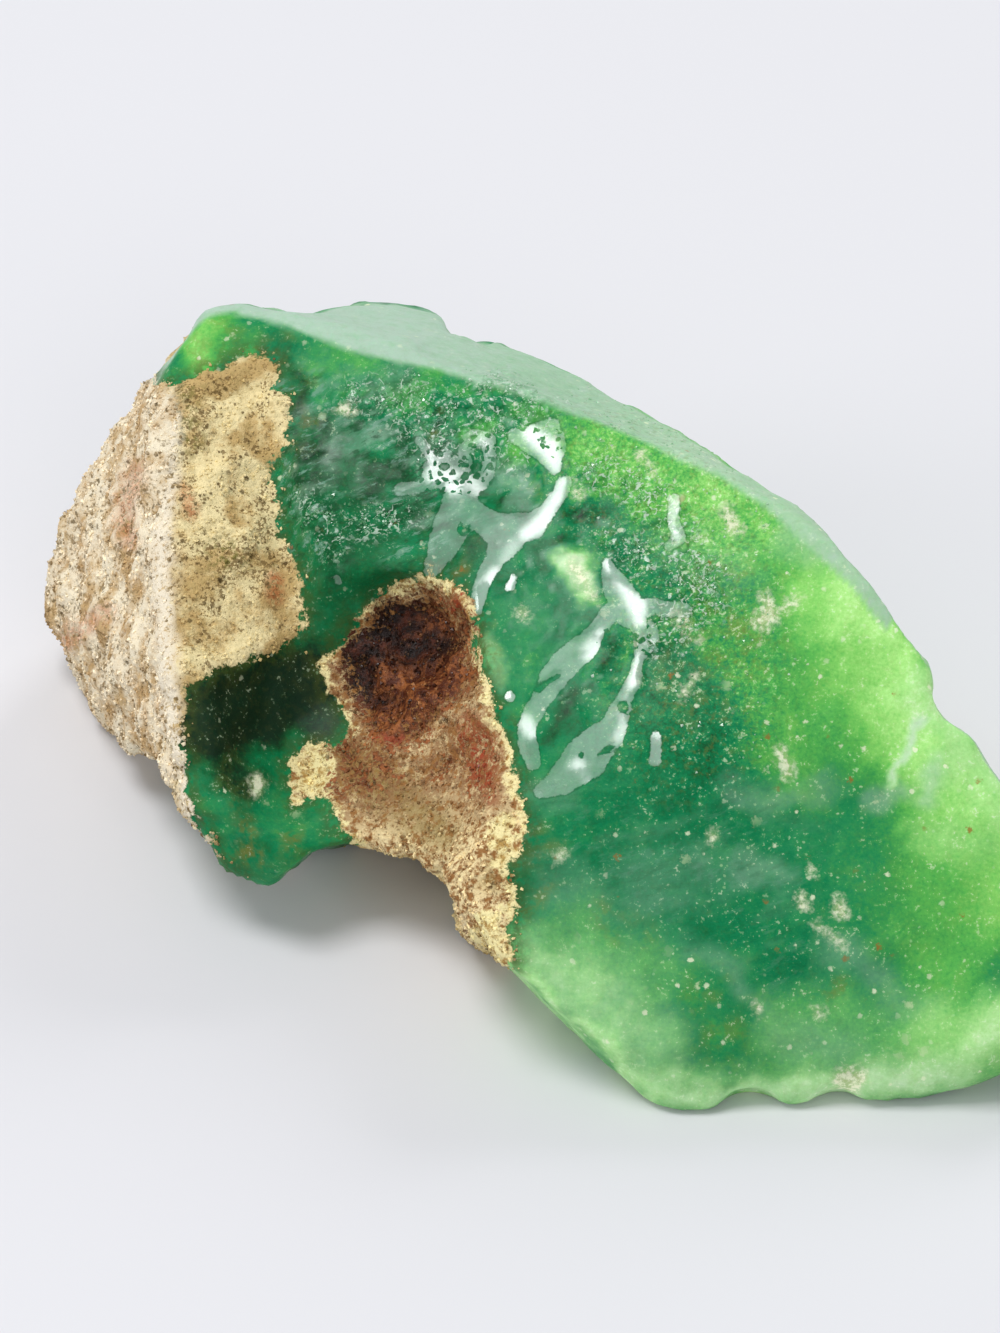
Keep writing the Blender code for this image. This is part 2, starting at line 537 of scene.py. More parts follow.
class Wire:
    """A value on a material's board. Arithmetic on it adds Math nodes."""

    def __init__(self, board: "Board", socket: bpy.types.NodeSocket) -> None:
        """Keeps the board and the output socket."""
        self.board, self.socket = board, socket

    def __add__(self, other: "Wire | float") -> "Wire":
        """Adds."""
        return self.board.math("ADD", self, other)

    __radd__ = __add__

    def __mul__(self, other: "Wire | float") -> "Wire":
        """Multiplies."""
        return self.board.math("MULTIPLY", self, other)

    __rmul__ = __mul__

    def __sub__(self, other: "Wire | float") -> "Wire":
        """Takes other away."""
        return self.board.math("SUBTRACT", self, other)

    def __rsub__(self, other: float) -> "Wire":
        """Is taken away from other."""
        return self.board.math("SUBTRACT", other, self)

    def least(self, other: "Wire | float") -> "Wire":
        """Returns the smaller."""
        return self.board.math("MINIMUM", self, other)

    def most(self, other: "Wire | float") -> "Wire":
        """Returns the larger."""
        return self.board.math("MAXIMUM", self, other)

    def eased(self, low: float, high: float) -> "Wire":
        """Rises smoothly from 0 to 1.

        Args:
            low: where the rise begins; it may be the larger.
            high: where it ends.

        Returns:
            The share.
        """
        flip = low > high
        sockets = {"Value": self, "From Min": min(low, high), "From Max": max(low, high)}
        out = self.board.node("ShaderNodeMapRange", {"interpolation_type": "SMOOTHSTEP"}, sockets)
        return 1.0 - out if flip else out


Value = Wire | float | tuple | str


class Board:
    """A material's node board."""

    def __init__(self, name: str) -> None:
        """Makes an empty material.

        Args:
            name: its name.
        """
        self.material = bpy.data.materials.new(name)
        self.material.use_nodes = True
        self.tree = self.material.node_tree
        self.tree.nodes.clear()

    def node(
        self,
        kind: str,
        settings: Mapping[str, object] | None = None,
        sockets: Mapping[str | int, Value] | None = None,
        output: str | int = 0,
    ) -> Wire:
        """Adds a node.

        Args:
            kind: Blender's node type.
            settings: the node's own settings, set first. stops sets a ramp's
                stops, as (place, colour) pairs.
            sockets: values or wires for its inputs, by name or number.
            output: which output to return.

        Returns:
            The output.
        """
        made = self.tree.nodes.new(kind)
        for key, value in (settings or {}).items():
            if key == "stops":
                ramp = made.color_ramp
                while len(ramp.elements) < len(value):
                    ramp.elements.new(1.0)
                for element, (place, colour) in zip(ramp.elements, value):
                    element.position, element.color = place, (*colour, 1.0)
            else:
                setattr(made, key, value)
        for key, value in (sockets or {}).items():
            socket = made.inputs[key]
            if isinstance(value, Wire):
                self.tree.links.new(value.socket, socket)
            elif isinstance(value, tuple) and len(value) == 3 and socket.type == "RGBA":
                socket.default_value = (*value, 1.0)
            else:
                socket.default_value = value
        return Wire(self, made.outputs[output])

    def math(self, operation: str, a: Value, b: Value = 0.0) -> Wire:
        """Adds a Math node on one or two values."""
        return self.node("ShaderNodeMath", {"operation": operation}, {0: a, 1: b})

    def mix(self, share: Value, a: Value, b: Value, blend: str = "MIX") -> Wire:
        """Mixes two colours, share of the second."""
        settings = {"data_type": "RGBA", "blend_type": blend, "clamp_factor": True}
        return self.node("ShaderNodeMix", settings, {0: share, 6: a, 7: b}, 2)

    def vector(self, operation: str, a: Value, b: Value) -> Wire:
        """Adds a Vector Math node."""
        second = "Scale" if operation == "SCALE" else 1
        return self.node("ShaderNodeVectorMath", {"operation": operation}, {0: a, second: b})

    def __getitem__(self, name: str) -> Wire:
        """Reads one of the skin's number layers."""
        return self.node("ShaderNodeAttribute", {"attribute_name": name}, {}, "Fac")

    def place(self) -> Wire:
        """Returns the place on the piece, in mm."""
        here = self.node("ShaderNodeTexCoord", {}, {}, "Object")
        return self.vector("SCALE", here, 1.0 / MM)

    def noise(self, at: Wire, size: float, detail: float, rough: float, output: str = "Fac") -> Wire:
        """Returns cloudy noise, 0 to 1, with swells of about size mm."""
        sockets = {"Vector": at, "Scale": 1.0 / size, "Detail": detail, "Roughness": rough}
        return self.node("ShaderNodeTexNoise", {}, sockets, output)

    def drawn(self, at: Wire, along: Triple, share: float) -> Wire:
        """Squeezes places along a direction, so that patterns stretch along it."""
        length = self.node("ShaderNodeVectorMath", {"operation": "DOT_PRODUCT"}, {0: at, 1: along}, "Value")
        return self.vector("SUBTRACT", at, self.vector("SCALE", along, length * share))

    def grains(self, at: Wire, size: float, output: str = "Distance") -> Wire:
        """Returns a scattered-cell pattern with cells of about size mm."""
        return self.node("ShaderNodeTexVoronoi", {}, {"Vector": at, "Scale": 1.0 / size}, output)

    def principled(self, sockets: Mapping[str, Value]) -> Wire:
        """Adds a Principled shader."""
        return self.node("ShaderNodeBsdfPrincipled", {}, sockets)

    def bump(self, height: Wire, distance: float, strength: float = 1.0) -> Wire:
        """Turns a height, 0 to 1, into a normal; distance is its full height in mm."""
        sockets = {"Height": height, "Distance": distance * MM, "Strength": strength}
        return self.node("ShaderNodeBump", {}, sockets)

    def finish(self, surface: Wire) -> bpy.types.Material:
        """Links the shader to the output.

        Args:
            surface: the shader.

        Returns:
            The material.
        """
        last = self.tree.nodes.new("ShaderNodeOutputMaterial")
        self.tree.links.new(surface.socket, last.inputs["Surface"])
        return self.material


# ------------------------------------------------------------------ finishes


class Green(Enum):
    """The stone's greens, from the darkest, painted shade for the recess under the crust, to the palest,
    partly painted light through the thin edges.
    """

    # Painted shade: the darkest green, for the recess that faces down.
    RECESS_SHADE = linear(20, 46, 28)
    BOTTLE = linear(20, 76, 42)
    EMERALD = linear(12, 104, 58)
    TEAL = linear(4, 122, 74)
    JADE = linear(34, 138, 80)
    LEAF = linear(64, 156, 76)
    APPLE = linear(92, 180, 82)
    SPRING = linear(128, 199, 98)
    LIME = linear(158, 214, 122)
    WAX = linear(190, 228, 160)


@dataclass(frozen=True)
class Noises:
    """The place, and three cloudy noises that the finishes share, 0 to 1 about a middle of 0.5."""

    at: Wire  # the place, in mm
    grain: Wire  # 0.26 mm
    shred: Wire  # 0.46 mm
    mid: Wire  # 0.8 mm

    @classmethod
    def on(cls, b: Board) -> "Noises":
        """Adds the noises to a board."""
        at = b.place()
        return cls(at, b.noise(at, 0.26, 2.0, 0.7), b.noise(at, 0.46, 3.0, 0.7), b.noise(at, 0.8, 4.0, 0.66))


@dataclass(frozen=True)
class RindFinish:
    """Sandy crust, yellow ochre and iron brown, by the layers of the skin."""

    hole: float = 0.95  # mm, the cells that the crust's round holes lie in
    ragged: float = 80.0  # chart units, how far the iron's edge strays
    grain_height: float = 0.24  # mm
    shade: float = 0.90

    def colour(self, b: Board, n: Noises) -> Wire:
        """Mixes the rind's colours.

        Args:
            b: the board.
            n: its noises.

        Returns:
            The colour.
        """
        dry = b.mix(b["ochre"], self.sand(b, n), self.ochre(b, n))
        return b.mix(self.stain(b, n), dry, self.iron(b, n))

    def stain(self, b: Board, n: Noises) -> Wire:
        """Returns where the iron is, 0 to 1, with a ragged edge."""
        return (b["iron"] + (n.shred + n.mid - 1.0) * self.ragged).eased(-7.0, 7.0)

    def rust(self, b: Board, n: Noises) -> Wire:
        """Returns where the rust is, 0 to 1."""
        return b["rust"] * (n.shred * 0.6 + n.grain * 0.4).eased(0.40, 0.54)

    def sand(self, b: Board, n: Noises) -> Wire:
        """Mixes the crust: cream sand, lighter in sunny places as painted light, mossy and dirty places, the
        pale streaked end, partly painted light, and pale rims that are partly painted highlight.

        Args:
            b: the board.
            n: its noises.

        Returns:
            The colour.
        """
        # The sand layer carries painted light from the sunny places.
        light = (b["sand"] + (n.mid - 0.5) * 1.8).eased(0.1, 0.9)
        sand = b.mix(light, linear(204, 174, 116), linear(248, 230, 176))
        sand = b.mix(b["moss"] * n.shred.eased(0.44, 0.60) * 0.8, sand, linear(116, 108, 48))
        # The flank's colours are partly its paler crust and partly painted light from the left.
        ribs = (b["streak"] + (n.shred - 0.5) * 1.1).eased(0.15, 0.85)
        side = b.mix(ribs, linear(200, 166, 118), linear(255, 243, 217))
        sand = b.mix(b["flank"] * 0.85, sand, side)
        dirt = b["dirt"]
        speck = (0.5 - n.grain + (0.5 - n.shred) * 0.9 + (dirt - 0.5) * 0.22).eased(0.10, 0.22)
        sand = b.mix(speck * (0.84 - b["flank"] * 0.3), sand, linear(122, 98, 54))
        hole = (b.grains(n.at, self.hole) + (n.grain - 0.5) * 0.35).eased(0.24, 0.12)
        hole = hole * (b.grains(n.at, self.hole, "Color") + dirt * 0.45).eased(0.62, 0.80)
        sand = b.mix(hole * 0.78, sand, linear(96, 78, 40))
        # Partly painted highlight: the pale rims along the lit crease and the hollow's lower edge.
        sand = b.mix(b["pale"] * n.shred.eased(0.36, 0.50), sand, linear(248, 236, 212))
        return b.mix(self.rust(b, n) * (0.8 - b["flank"] * 0.3), sand, linear(190, 110, 62))

    def ochre(self, b: Board, n: Noises) -> Wire:
        """Mixes the hollow's ochre, with its yellow rim.

        Args:
            b: the board.
            n: its noises.

        Returns:
            The colour.
        """
        clot = n.mid + n.shred - 1.0
        inner = b.mix(clot.eased(-0.16, 0.11), linear(160, 112, 62), linear(252, 230, 176))
        inner = b.mix(b["khaki"] * n.mid.eased(0.30, 0.56) * 0.75, inner, linear(150, 126, 70))
        fringe = b["iron"].eased(-70.0, 0.0) * n.shred.eased(0.40, 0.56)
        inner = b.mix(fringe * 0.85, inner, linear(134, 84, 44))
        rim = b.mix(clot.eased(-0.20, 0.08), linear(192, 156, 88), linear(254, 240, 178))
        ochre = b.mix((b["rim"] + (n.mid - 0.5) * 2.2).eased(0.4, 0.8), inner, rim)
        ochre = b.mix(n.grain.eased(0.42, 0.32) * 0.6, ochre, linear(116, 84, 46))
        return b.mix(self.rust(b, n) * 0.85, ochre, linear(158, 84, 46))

    def iron(self, b: Board, n: Noises) -> Wire:
        """Mixes the iron stain, nearly black at its top.

        Args:
            b: the board.
            n: its noises.

        Returns:
            The colour.
        """
        clot = (n.mid * 1.4 + n.shred - 1.2).eased(-0.16, 0.30)
        iron = b.mix(clot, linear(82, 36, 16), linear(164, 98, 52))
        black = b.mix(n.mid.eased(0.42, 0.72), linear(18, 6, 4), linear(84, 38, 22))
        iron = b.mix(b["umber"] * 0.97, iron, black)
        iron = b.mix(n.grain.eased(0.62, 0.72) * (0.5 - b["umber"] * 0.35), iron, linear(196, 140, 86))
        return b.mix(self.rust(b, n) * 0.8, iron, linear(170, 66, 38))


@dataclass(frozen=True)
class StoneFinish:
    """Green chalcedony under the rind."""

    # Milk, also used to paint sheen: on the top face, low in the wet area and in the recess.
    milk: Triple = linear(172, 196, 180)
    bronze: Triple = linear(112, 112, 48)
    olive: Triple = linear(66, 78, 30)
    # Pale crystal colour, partly painted glint: the druse's tips and glint lines are paled towards it.
    crystal_and_painted_glint: Triple = linear(196, 216, 198)
    flour: Triple = linear(206, 222, 190)
    cream: Triple = linear(226, 230, 200)
    husk: Triple = linear(172, 190, 136)
    grey: Triple = linear(120, 160, 140)
    # Painted shade: the druse's pits are multiplied darker by this.
    painted_pit_shade: Triple = (0.30, 0.52, 0.38)
    flow: Triple = (0.93, 0.232, 0.275)  # the way the grey swirls run
    # Painted reflection: the pale grey-white of the light mirrored by the wet film; the film patches are
    # paled towards it.
    film: Triple = linear(196, 210, 202)
    # Each kind's cell in mm, reach and rarity in shares, cover and colour.
    specks: tuple = (
        (1.10, 0.15, 0.58, 0.85, linear(214, 224, 190)),
        (2.10, 0.08, 0.55, 0.80, linear(150, 100, 44)),
        (0.62, 0.14, 0.66, 0.45, linear(176, 214, 160)),
        (2.30, 0.13, 0.56, 0.60, linear(192, 212, 164)),
    )
    rind: RindFinish = RindFinish()
    ragged: float = 15.0  # chart units, how far the rind's edge strays
    fade: float = 1.6  # chart units, half the edge's width
    druse_cell: float = 0.72  # mm
    bubble_cell: float = 0.60  # mm
    scatter: Triple = (0.35, 1.0, 0.55)
    scatter_depth: float = 0.7  # mm

    def material(self) -> bpy.types.Material:
        """Builds the material: green stone, with the rind mixed over it.

        Returns:
            The material.
        """
        b = Board("chrysoprase_stone")
        n = Noises.on(b)
        ragged = (n.shred * 1.2 + n.mid * 0.8 - 1.0) * self.ragged
        rind = (b["rind"] + ragged).eased(-self.fade, self.fade)
        both = {0: rind, 1: self.green(b, n), 2: self.crust(b, n)}
        return b.finish(b.node("ShaderNodeMixShader", {}, both))

    def colour(self, b: Board, n: Noises) -> Wire:
        """Mixes the green stone's colour: depth of green, with painted shade and light at its ends, milky
        veils with some painted sheen, and brown and olive tints.

        Args:
            b: the board.
            n: its noises.

        Returns:
            The colour.
        """
        mottle = b["mottle"]
        tone = b["tone"] + (n.mid - 0.5) * (0.10 + 0.42 * mottle)
        tone = tone + (n.grain - 0.5) * (0.14 + 0.50 * mottle)
        stops = [(0.02 + 0.98 * place / 9, green.value) for place, green in enumerate(Green)]
        base = b.node("ShaderNodeValToRGB", {"stops": stops}, {"Fac": tone}, "Color")
        milk = (b["milk"] * (1.0 + (n.mid - 0.5) * 0.9)).most(0.0).least(0.92)
        base = b.mix(milk, base, self.milk)
        base = b.mix(b["warm"] * n.mid.eased(0.36, 0.60), base, self.bronze)
        fringe = b["rind"].eased(-26.0, 0.0) * n.mid.eased(0.34, 0.58)
        base = b.mix(fringe * 0.7, base, self.olive)
        return b.mix(n.shred.eased(0.50, 0.66) * mottle * 0.34, base, self.bronze)

    def swirled(self, b: Board, n: Noises, base: Wire) -> Wire:
        """Lays grey veils and dark seams over a colour, drawn out along the flow.

        Args:
            b: the board.
            n: its noises.
            base: the colour under them.

        Returns:
            The colour with them.
        """
        long = b.noise(b.drawn(n.at, self.flow, 0.66), 0.8, 5.0, 0.72)
        base = b.mix(long.eased(0.54, 0.64) * b["swirl"] * 0.7, base, self.grey)
        return b.mix(long.eased(0.47, 0.37) * b["swirl"] * 0.85, base, Green.BOTTLE.value)

    def sugared(self, b: Board, n: Noises, base: Wire, bent: Wire, crumb: Wire, tip: Wire) -> Wire:
        """Lays painted shade in the druse's pits, pale crystal tips that are partly painted highlight, and
        fine painted glint lines over a colour.

        Args:
            b: the board.
            n: its noises.
            base: the colour under them.
            bent: the place, bent by a noise.
            crumb: the distance to the nearest crystal, in cells.
            tip: where the crystals' tips are.

        Returns:
            The colour with them.
        """
        # Painted shade in the pits between the crystals.
        base = b.mix(crumb.eased(0.40, 0.75) * b["druse"] * 0.7, base, self.painted_pit_shade, "MULTIPLY")
        # Painted glints: thin bright lines, with the pale tips partly painted highlight.
        painted_glint_line = b.math("ABSOLUTE", b.noise(bent, 1.25, 2.0, 0.6) - 0.5).eased(0.030, 0.012)
        pale_tip_and_glint = tip * 0.5 + painted_glint_line * n.shred.eased(0.46, 0.58) * 0.8 + n.grain.eased(0.58, 0.68) * 0.4
        return b.mix(pale_tip_and_glint.least(0.85) * b["druse"], base, self.crystal_and_painted_glint)

    def green(self, b: Board, n: Noises) -> Wire:
        """Builds the green stone's shader.

        Args:
            b: the board.
            n: its noises.

        Returns:
            The shader.
        """
        druse, film_depth, shine = b["druse"], b["film"], b["shine"]
        bend = b.noise(n.at, 0.9, 2.0, 0.6, "Color")
        bent = b.vector("ADD", n.at, b.vector("SCALE", bend, 0.9))
        crumb = b.grains(bent, self.druse_cell) + (n.shred - 0.5) * 0.4
        tip = crumb.eased(0.30, 0.14) * b.grains(bent, self.druse_cell, "Color").eased(0.35, 0.75)
        base = self.sugared(b, n, self.swirled(b, n, self.colour(b, n)), bent, crumb, tip)
        dust = n.grain - 0.5 + (n.mid - 0.5) * (0.5 + b["mottle"] * 0.6)
        base = b.mix(dust.eased(0.13, 0.24) * b["flour"] * 0.5, base, self.flour)
        inclusion = b["cream"] + (n.shred - 0.5) * 18.0
        thick = (0.25 + n.grain * 0.8 + inclusion.eased(1.0, 6.0) * 0.3).least(0.9)
        cloudy = inclusion.eased(-6.0, 6.0) * thick
        base = b.mix(cloudy, base, b.mix(n.shred.eased(0.40, 0.60), self.husk, self.cream))
        base = self.specked(b, n, base)
        bubbles = b.grains(bent, self.bubble_cell) + (n.shred - 0.5) * 0.4
        lace = b["lace"] * bubbles.eased(0.40, 0.34)
        film = film_depth + (n.mid - 0.4) * 6.0 + (n.shred - 0.5) * 5.0 - lace * 30.0
        film = film.eased(-0.7, 0.7)
        # Painted shadow: a dark line just outside the film patches, as if their edges cast it.
        painted_shadow_line = film_depth.eased(-3.0, -0.8) * (1.0 - film)
        base = b.mix(painted_shadow_line * 0.4, base, Green.BOTTLE.value)
        # Painted reflection: the film patches are paled towards the film colour, more where the highlight is
        # painted.
        base = b.mix(film * (0.20 + 0.30 * shine), base, self.film)
        rough = 0.50 - 0.12 * b["wet"] - 0.22 * film + (n.mid - 0.5) * 0.2
        height = n.grain * 0.4 + n.shred * (0.3 + druse * 0.6) + (0.6 - crumb) * druse * 2.4
        gloss = film * shine + b["wet"] * 0.05 + tip * druse * 0.5
        return b.principled(
            {
                "Base Color": base,
                "Roughness": rough.most(0.08),
                "Subsurface Weight": 0.35,
                "Subsurface Radius": self.scatter,
                "Subsurface Scale": self.scatter_depth * MM,
                "Specular IOR Level": 0.07,
                "IOR": 1.54,
                "Coat Weight": gloss.least(1.0),
                "Coat Roughness": 0.14,
                "Coat IOR": 1.6,
                # Painted glow: the palest greens give off a little light, as if lit through from behind.
                "Emission Color": b.mix(b["glow"], (0.0, 0.0, 0.0), base),
                "Emission Strength": 0.25,
                "Normal": b.bump(height, 0.12, 0.8),
            }
        )

    def specked(self, b: Board, n: Noises, base: Wire) -> Wire:
        """Strews small pale crumbs and fewer rusty specks.

        Args:
            b: the board.
            n: its noises.
            base: the colour under them.

        Returns:
            The colour with them.
        """
        for size, reach, rare, share, speck in self.specks:
            dot = (b.grains(n.at, size) + (n.grain - 0.5) * 0.4).eased(reach + 0.05, reach - 0.05)
            some = b.grains(n.at, size, "Color").eased(rare, rare + 0.08)
            base = b.mix(dot * some * b["flour"] * share, base, speck)
        return base

    def crust(self, b: Board, n: Noises) -> Wire:
        """Builds the rind's shader.

        Args:
            b: the board.
            n: its noises.

        Returns:
            The shader.
        """
        stain = self.rind.stain(b, n)
        return b.principled(
            {
                "Base Color": b.vector("SCALE", self.rind.colour(b, n), self.rind.shade),
                "Roughness": 0.88 - stain * 0.40 + (n.mid - 0.5) * 0.3,
                "Specular IOR Level": 0.25,
                "IOR": 1.5,
                "Normal": b.bump(n.grain * 0.4 + n.shred * 0.8, self.rind.grain_height),
            }
        )


@dataclass(frozen=True)
class GritFinish:
    """Loose grains of the rind: its colours, each grain lighter or darker."""

    rind: RindFinish = RindFinish()

    def material(self) -> bpy.types.Material:
        """Builds the material.

        Returns:
            The material.
        """
        b = Board("crust_grit")
        n = Noises.on(b)
        pick = b["pick"]
        own = Noises(n.at, pick * 0.4 + 0.36, n.shred * 0.6 + pick * 0.3 + 0.06, n.mid)
        stain = self.rind.stain(b, n)
        colour = b.vector("SCALE", self.rind.colour(b, own), 0.66 + pick * 0.50 - stain * 0.3)
        return b.finish(
            b.principled(
                {
                    "Base Color": colour,
                    "Roughness": 0.85 - stain * 0.5,
                    "Specular IOR Level": 0.35,
                    "IOR": 1.5,
                }
            )
        )


@dataclass(frozen=True)
class CrystalFinish:
    """Tiny wet quartz crystals, from the stone's green to nearly white."""

    green: StoneFinish = StoneFinish()
    pale: Triple = linear(222, 236, 222)

    def material(self) -> bpy.types.Material:
        """Builds the material.

        Returns:
            The material.
        """
        b = Board("quartz_druse")
        n = Noises.on(b)
        clear = b.mix(0.35, self.green.colour(b, n), linear(110, 180, 120))
        colour = b.mix(b["pick"].eased(0.5, 1.3), clear, self.pale)
        return b.finish(
            b.principled(
                {
                    "Base Color": colour,
                    "Roughness": 0.22,
                    "Specular IOR Level": 0.5,
                    "IOR": 1.54,
                    "Coat Weight": 0.6,
                    "Coat Roughness": 0.05,
                }
            )
        )


@dataclass(frozen=True)
class FloorFinish:
    """Plain pale studio floor."""

    colour: Triple = (0.70, 0.70, 0.73)
    rough: float = 0.6

    def material(self) -> bpy.types.Material:
        """Builds the material.

        Returns:
            The material.
        """
        b = Board("pale_floor")
        sockets = {"Base Color": self.colour, "Roughness": self.rough, "Specular IOR Level": 0.2}
        return b.finish(b.principled(sockets))


# -------------------------------------------------------------------- the stone

# Outlines on the chart: the crust, the ochre hollow, the iron in it, and the top face, where a reflection is
# painted.
CRUST_EDGE = (
    (250, 352), (272, 356), (276, 370), (270, 385), (288, 400), (291, 415), (283, 430), (291, 442),
    (280, 460), (266, 475), (278, 495), (281, 515), (275, 540), (291, 560), (301, 580), (306, 615),
    (295, 631), (270, 650), (228, 667), (196, 676), (187, 690), (184, 720), (184, 760), (190, 795),
    (203, 840), (220, 862), (240, 882), (225, 890), (180, 890), (120, 800), (60, 700), (10, 640), (0, 560),
    (20, 440), (80, 380), (150, 376), (168, 388), (196, 376), (228, 366),
)  # fmt: skip

HOLLOW_EDGE = (
    (400, 582), (370, 602), (354, 625), (334, 645), (320, 665), (326, 690), (342, 708), (346, 730),
    (336, 745), (304, 750), (292, 764), (288, 782), (298, 800), (318, 798), (334, 812), (344, 836),
    (372, 862), (400, 880), (432, 892), (440, 925), (456, 952), (484, 970), (510, 966), (514, 920),
    (516, 892), (505, 872), (524, 845), (526, 815), (520, 785), (510, 752), (500, 725), (490, 690),
    (478, 660), (474, 625), (470, 598), (455, 582), (430, 574),
)  # fmt: skip

IRON_EDGE = (
    (398, 602), (414, 594), (436, 600), (456, 610), (468, 624), (469, 656), (466, 684), (452, 706),
    (428, 726), (404, 742), (380, 742), (364, 724), (350, 700), (341, 674), (340, 650), (356, 628),
    (380, 612),
)  # fmt: skip

TOP_EDGE = (
    (236, 316), (262, 318), (310, 335), (350, 350), (400, 364), (440, 371), (480, 385), (520, 395),
    (560, 410), (600, 425), (640, 440), (680, 462), (720, 478), (760, 504), (800, 540), (850, 584),
    (888, 630), (904, 600), (860, 520), (700, 380), (560, 300), (430, 260), (280, 270),
)  # fmt: skip

# The water-smooth patches, the bare rings and bays in them, where their highlight is painted and their gloss
# is strong, and where they are lacy.
FILM = strokes(
    ((430, 470, 8), (445, 478, 11), (452, 490, 9), (470, 508, 10), (490, 522, 11), (512, 530, 15),
        (532, 526, 13)), ((532, 526, 12), (548, 510, 8), (558, 495, 7), (566, 482, 6)),
    ((510, 540, 14), (496, 560, 9), (486, 576, 8), (478, 594, 7), (476, 610, 4)),
    ((456, 504, 12), (452, 526, 17), (442, 550, 13), (432, 570, 7)),
    ((486, 522, 14), (506, 536, 18), (500, 552, 12)),
    ((514, 435, 6), (528, 443, 9), (546, 452, 12), (554, 466, 8)),
    ((536, 434, 9), (553, 425, 8), (557, 450, 8)),
    ((464, 466, 7), (466, 446, 7), (476, 436, 8), (488, 440, 7), (490, 458, 6), (486, 478, 7),
        (470, 490, 9)), ((446, 452, 5), (452, 470, 9)), ((419, 440, 4), (430, 453, 4), (436, 465, 5)),
    ((400, 490, 6), (420, 487, 6), (436, 480, 7)),
    ((607, 565, 5), (616, 586, 12), (624, 602, 16), (630, 616, 12)),
    ((644, 608, 8), (662, 608, 7), (684, 609, 7)), ((652, 628, 6), (656, 648, 5), (640, 640, 5)),
    ((608, 616, 9), (596, 632, 8), (584, 648, 13), (567, 662, 14), (554, 680, 14), (541, 700, 9),
        (528, 722, 9)), ((526, 724, 8), (528, 744, 9), (532, 762, 7)),
    ((636, 616, 9), (643, 640, 6), (640, 660, 6), (635, 680, 7), (626, 698, 8), (618, 716, 11),
        (609, 738, 15)), ((604, 740, 17), (586, 759, 21), (562, 779, 15), (542, 792, 7)),
    ((675, 500, 5), (674, 520, 5), (679, 538, 6), (668, 546, 4)), ((656, 736, 4), (655, 762, 5)),
    ((510, 587, 4), (514, 577, 3)), (510, 696, 5), ((342, 815, 4), (350, 829, 4)),
    ((402, 664, 3), (403, 680, 3), (397, 694, 3)), ((333, 578, 3), (338, 584, 3)),
)  # fmt: skip

BARE = strokes(
    (656, 616, 4), ((648, 664, 6), (644, 676, 3)), (624, 708, 7), (581, 756, 4), (544, 441, 4),
    (557, 449, 3), ((462, 532, 6), (460, 526, 4)), ((560, 676, 3), (538, 690, 4)),
    ((600, 756, 3), (610, 748, 4)), ((478, 544, 8), (470, 556, 7)),
)  # fmt: skip

# Painted highlight: these marks pale the film towards white where the light is mirrored, and raise its gloss
# there.
GLOSS_AND_PAINTED_HIGHLIGHT = (
    mark((532, 434, 7), (548, 448, 8), (557, 466, 5), soft=7, shine=1.0),
    mark((564, 480, 2), (556, 498, 4), (544, 520, 6), (526, 535, 5), soft=7, shine=1.0),
    mark((514, 546, 4), (506, 562, 3), soft=8, shine=0.5),
    mark((496, 572, 3), (485, 586, 5), (478, 604, 4), soft=6, shine=1.0),
    mark((436, 450, 4), (438, 474, 10), (456, 486, 9), soft=7, shine=0.95),
    mark((462, 474, 4), (480, 492, 4), soft=6, shine=0.7),
    mark((484, 438, 4), (489, 466, 4), soft=6, shine=0.5),
    mark((607, 565, 3), (621, 584, 4), (637, 606, 7), (640, 622, 4), soft=6, shine=1.0),
    mark((642, 640, 4), (639, 664, 3), (633, 686, 4), soft=6, shine=1.0),
    mark((630, 700, 3), (626, 722, 4), (620, 738, 4), soft=7, shine=0.65),
    mark((590, 652, 7), (600, 636, 4), soft=7, shine=0.9),
    mark((524, 722, 6), (533, 734, 5), soft=6, shine=0.85),
    mark((578, 766, 5), (586, 778, 3), soft=7, shine=0.8), mark((654, 636, 6), soft=8, shine=0.6),
    mark((675, 506, 5), (678, 536, 5), soft=8, shine=0.6), mark((510, 582, 8), soft=4, shine=1.0),
    mark((510, 696, 8), soft=4, shine=1.0), mark((346, 822, 10), soft=4, shine=1.0),
    mark((402, 680, 16), soft=4, shine=0.6), mark((656, 748, 16), soft=4, shine=0.8),
)  # fmt: skip

LACY = (
    mark((430, 470, 12), (468, 474, 18), (484, 440, 12), soft=10),
    mark((654, 640, 8), (606, 640, 4), soft=8), mark((545, 436, 8), (558, 450, 6), soft=8),
)  # fmt: skip

# Cream inclusions in the green.
CREAM = strokes(
    (850, 1080, 15), ((838, 905, 9), (842, 912, 8)), ((802, 894, 4), (804, 906, 5)),
    ((343, 410, 6), (352, 414, 5)), ((766, 596, 5), (774, 612, 10), (764, 622, 9)),
    ((728, 512, 6), (733, 526, 7)), ((692, 676, 3), (684, 692, 4)), (700, 640, 4), (256, 786, 8),
    ((782, 755, 6), (788, 774, 5)), (714, 833, 6), (812, 870, 4), (755, 1010, 6), (818, 1012, 5),
    (560, 858, 4), (578, 494, 6), ((572, 566, 4), (584, 580, 6), (594, 602, 3)), (524, 615, 6),
    ((676, 614, 3), (690, 628, 5)), ((790, 604, 4), (800, 600, 3)), ((816, 926, 4), (842, 948, 3)),
    ((640, 452, 3), (650, 470, 4)),
)  # fmt: skip

